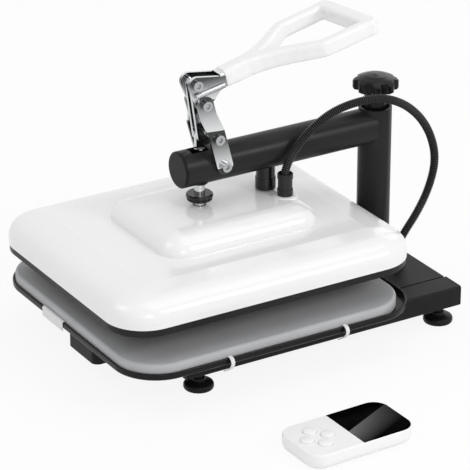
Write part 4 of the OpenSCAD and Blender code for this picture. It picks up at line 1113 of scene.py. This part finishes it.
class HEATPRESS_OT_base(bpy.types.Operator):
    """Rails, rear box, channel, feet and the fittings of the base"""

    bl_idname = "heatpress.base"
    bl_label = "Base"

    def execute(self, context):
        looks = finishes(context.scene)
        for node in ("side_rail_left", "side_rail_right", "rear_crossbox", "front_channel",
                     "column_flange"):
            dressed(node, looks["frame"], "base", width=0.6)
        coated(["box_cover"], looks["frame"])
        dressed("rail_end_caps", looks["plastic"], "base", width=0.9, segments=3)
        dressed("base_gland", looks["plastic"], "base", width=0.6)
        dressed("power_inlet", looks["plastic"], "base", width=0.3)
        dressed("rocker_switch", looks["switch"], "switch", width=0.4)
        coated(["base_screws"], looks["steel"])
        coated(["control_board"], looks["green"])
        for place in ("front_left", "front_right", "rear_left", "rear_right"):
            dressed(f"foot_{place}", looks["plastic"], f"{place}_foot", width=0.4)
        return {"FINISHED"}


class HEATPRESS_OT_control(bpy.types.Operator):
    """Control box with its dark screen and round keys"""

    bl_idname = "heatpress.control"
    bl_label = "Control box"

    def execute(self, context):
        looks = finishes(context.scene)
        for node in ("controller_base", "controller_top"):
            dressed(node, looks["control"], "controller", width=0.4)
        dressed("controller_screen", looks["screen"], "controller", width=0.3)
        coated(["controller_board"], looks["green"])
        for way in ("front", "rear", "left", "right"):
            dressed(f"button_{way}", looks["key"], f"key_{way}", width=0.35)
        return {"FINISHED"}


OPERATORS = (
    HEATPRESS_OT_stage, HEATPRESS_OT_conduit, HEATPRESS_OT_platen, HEATPRESS_OT_pad, HEATPRESS_OT_tray,
    HEATPRESS_OT_grip, HEATPRESS_OT_lever, HEATPRESS_OT_arm, HEATPRESS_OT_knob, HEATPRESS_OT_base,
    HEATPRESS_OT_control)


class HEATPRESS_PT_pieces(bpy.types.Panel):
    """Lists the pieces of the press and their sizes"""

    bl_idname = "HEATPRESS_PT_pieces"
    bl_label = "Heat press"
    bl_space_type = "VIEW_3D"
    bl_region_type = "UI"
    bl_category = "Heat press"

    def draw(self, context):
        for group in (context.scene.press_sizes, context.scene.press_colours):
            box = self.layout.box()
            for name in group.__annotations__:
                box.prop(group, name)
        for step in OPERATORS:
            self.layout.operator(step.bl_idname)


CLASSES = (PressSizes, PressColours, *OPERATORS, HEATPRESS_PT_pieces)


def register():
    for piece in CLASSES:
        bpy.utils.register_class(piece)
    bpy.types.Scene.press_sizes = PointerProperty(type=PressSizes)
    bpy.types.Scene.press_colours = PointerProperty(type=PressColours)


def unregister():
    del bpy.types.Scene.press_colours
    del bpy.types.Scene.press_sizes
    for piece in reversed(CLASSES):
        bpy.utils.unregister_class(piece)


def main():
    register()
    bpy.ops.heatpress.stage()
    bpy.ops.heatpress.conduit()
    bpy.ops.heatpress.platen()
    bpy.ops.heatpress.pad()
    bpy.ops.heatpress.tray()
    bpy.ops.heatpress.grip()
    bpy.ops.heatpress.lever()
    bpy.ops.heatpress.arm()
    bpy.ops.heatpress.knob()
    bpy.ops.heatpress.base()
    bpy.ops.heatpress.control()


if __name__ == "__main__":
    main()
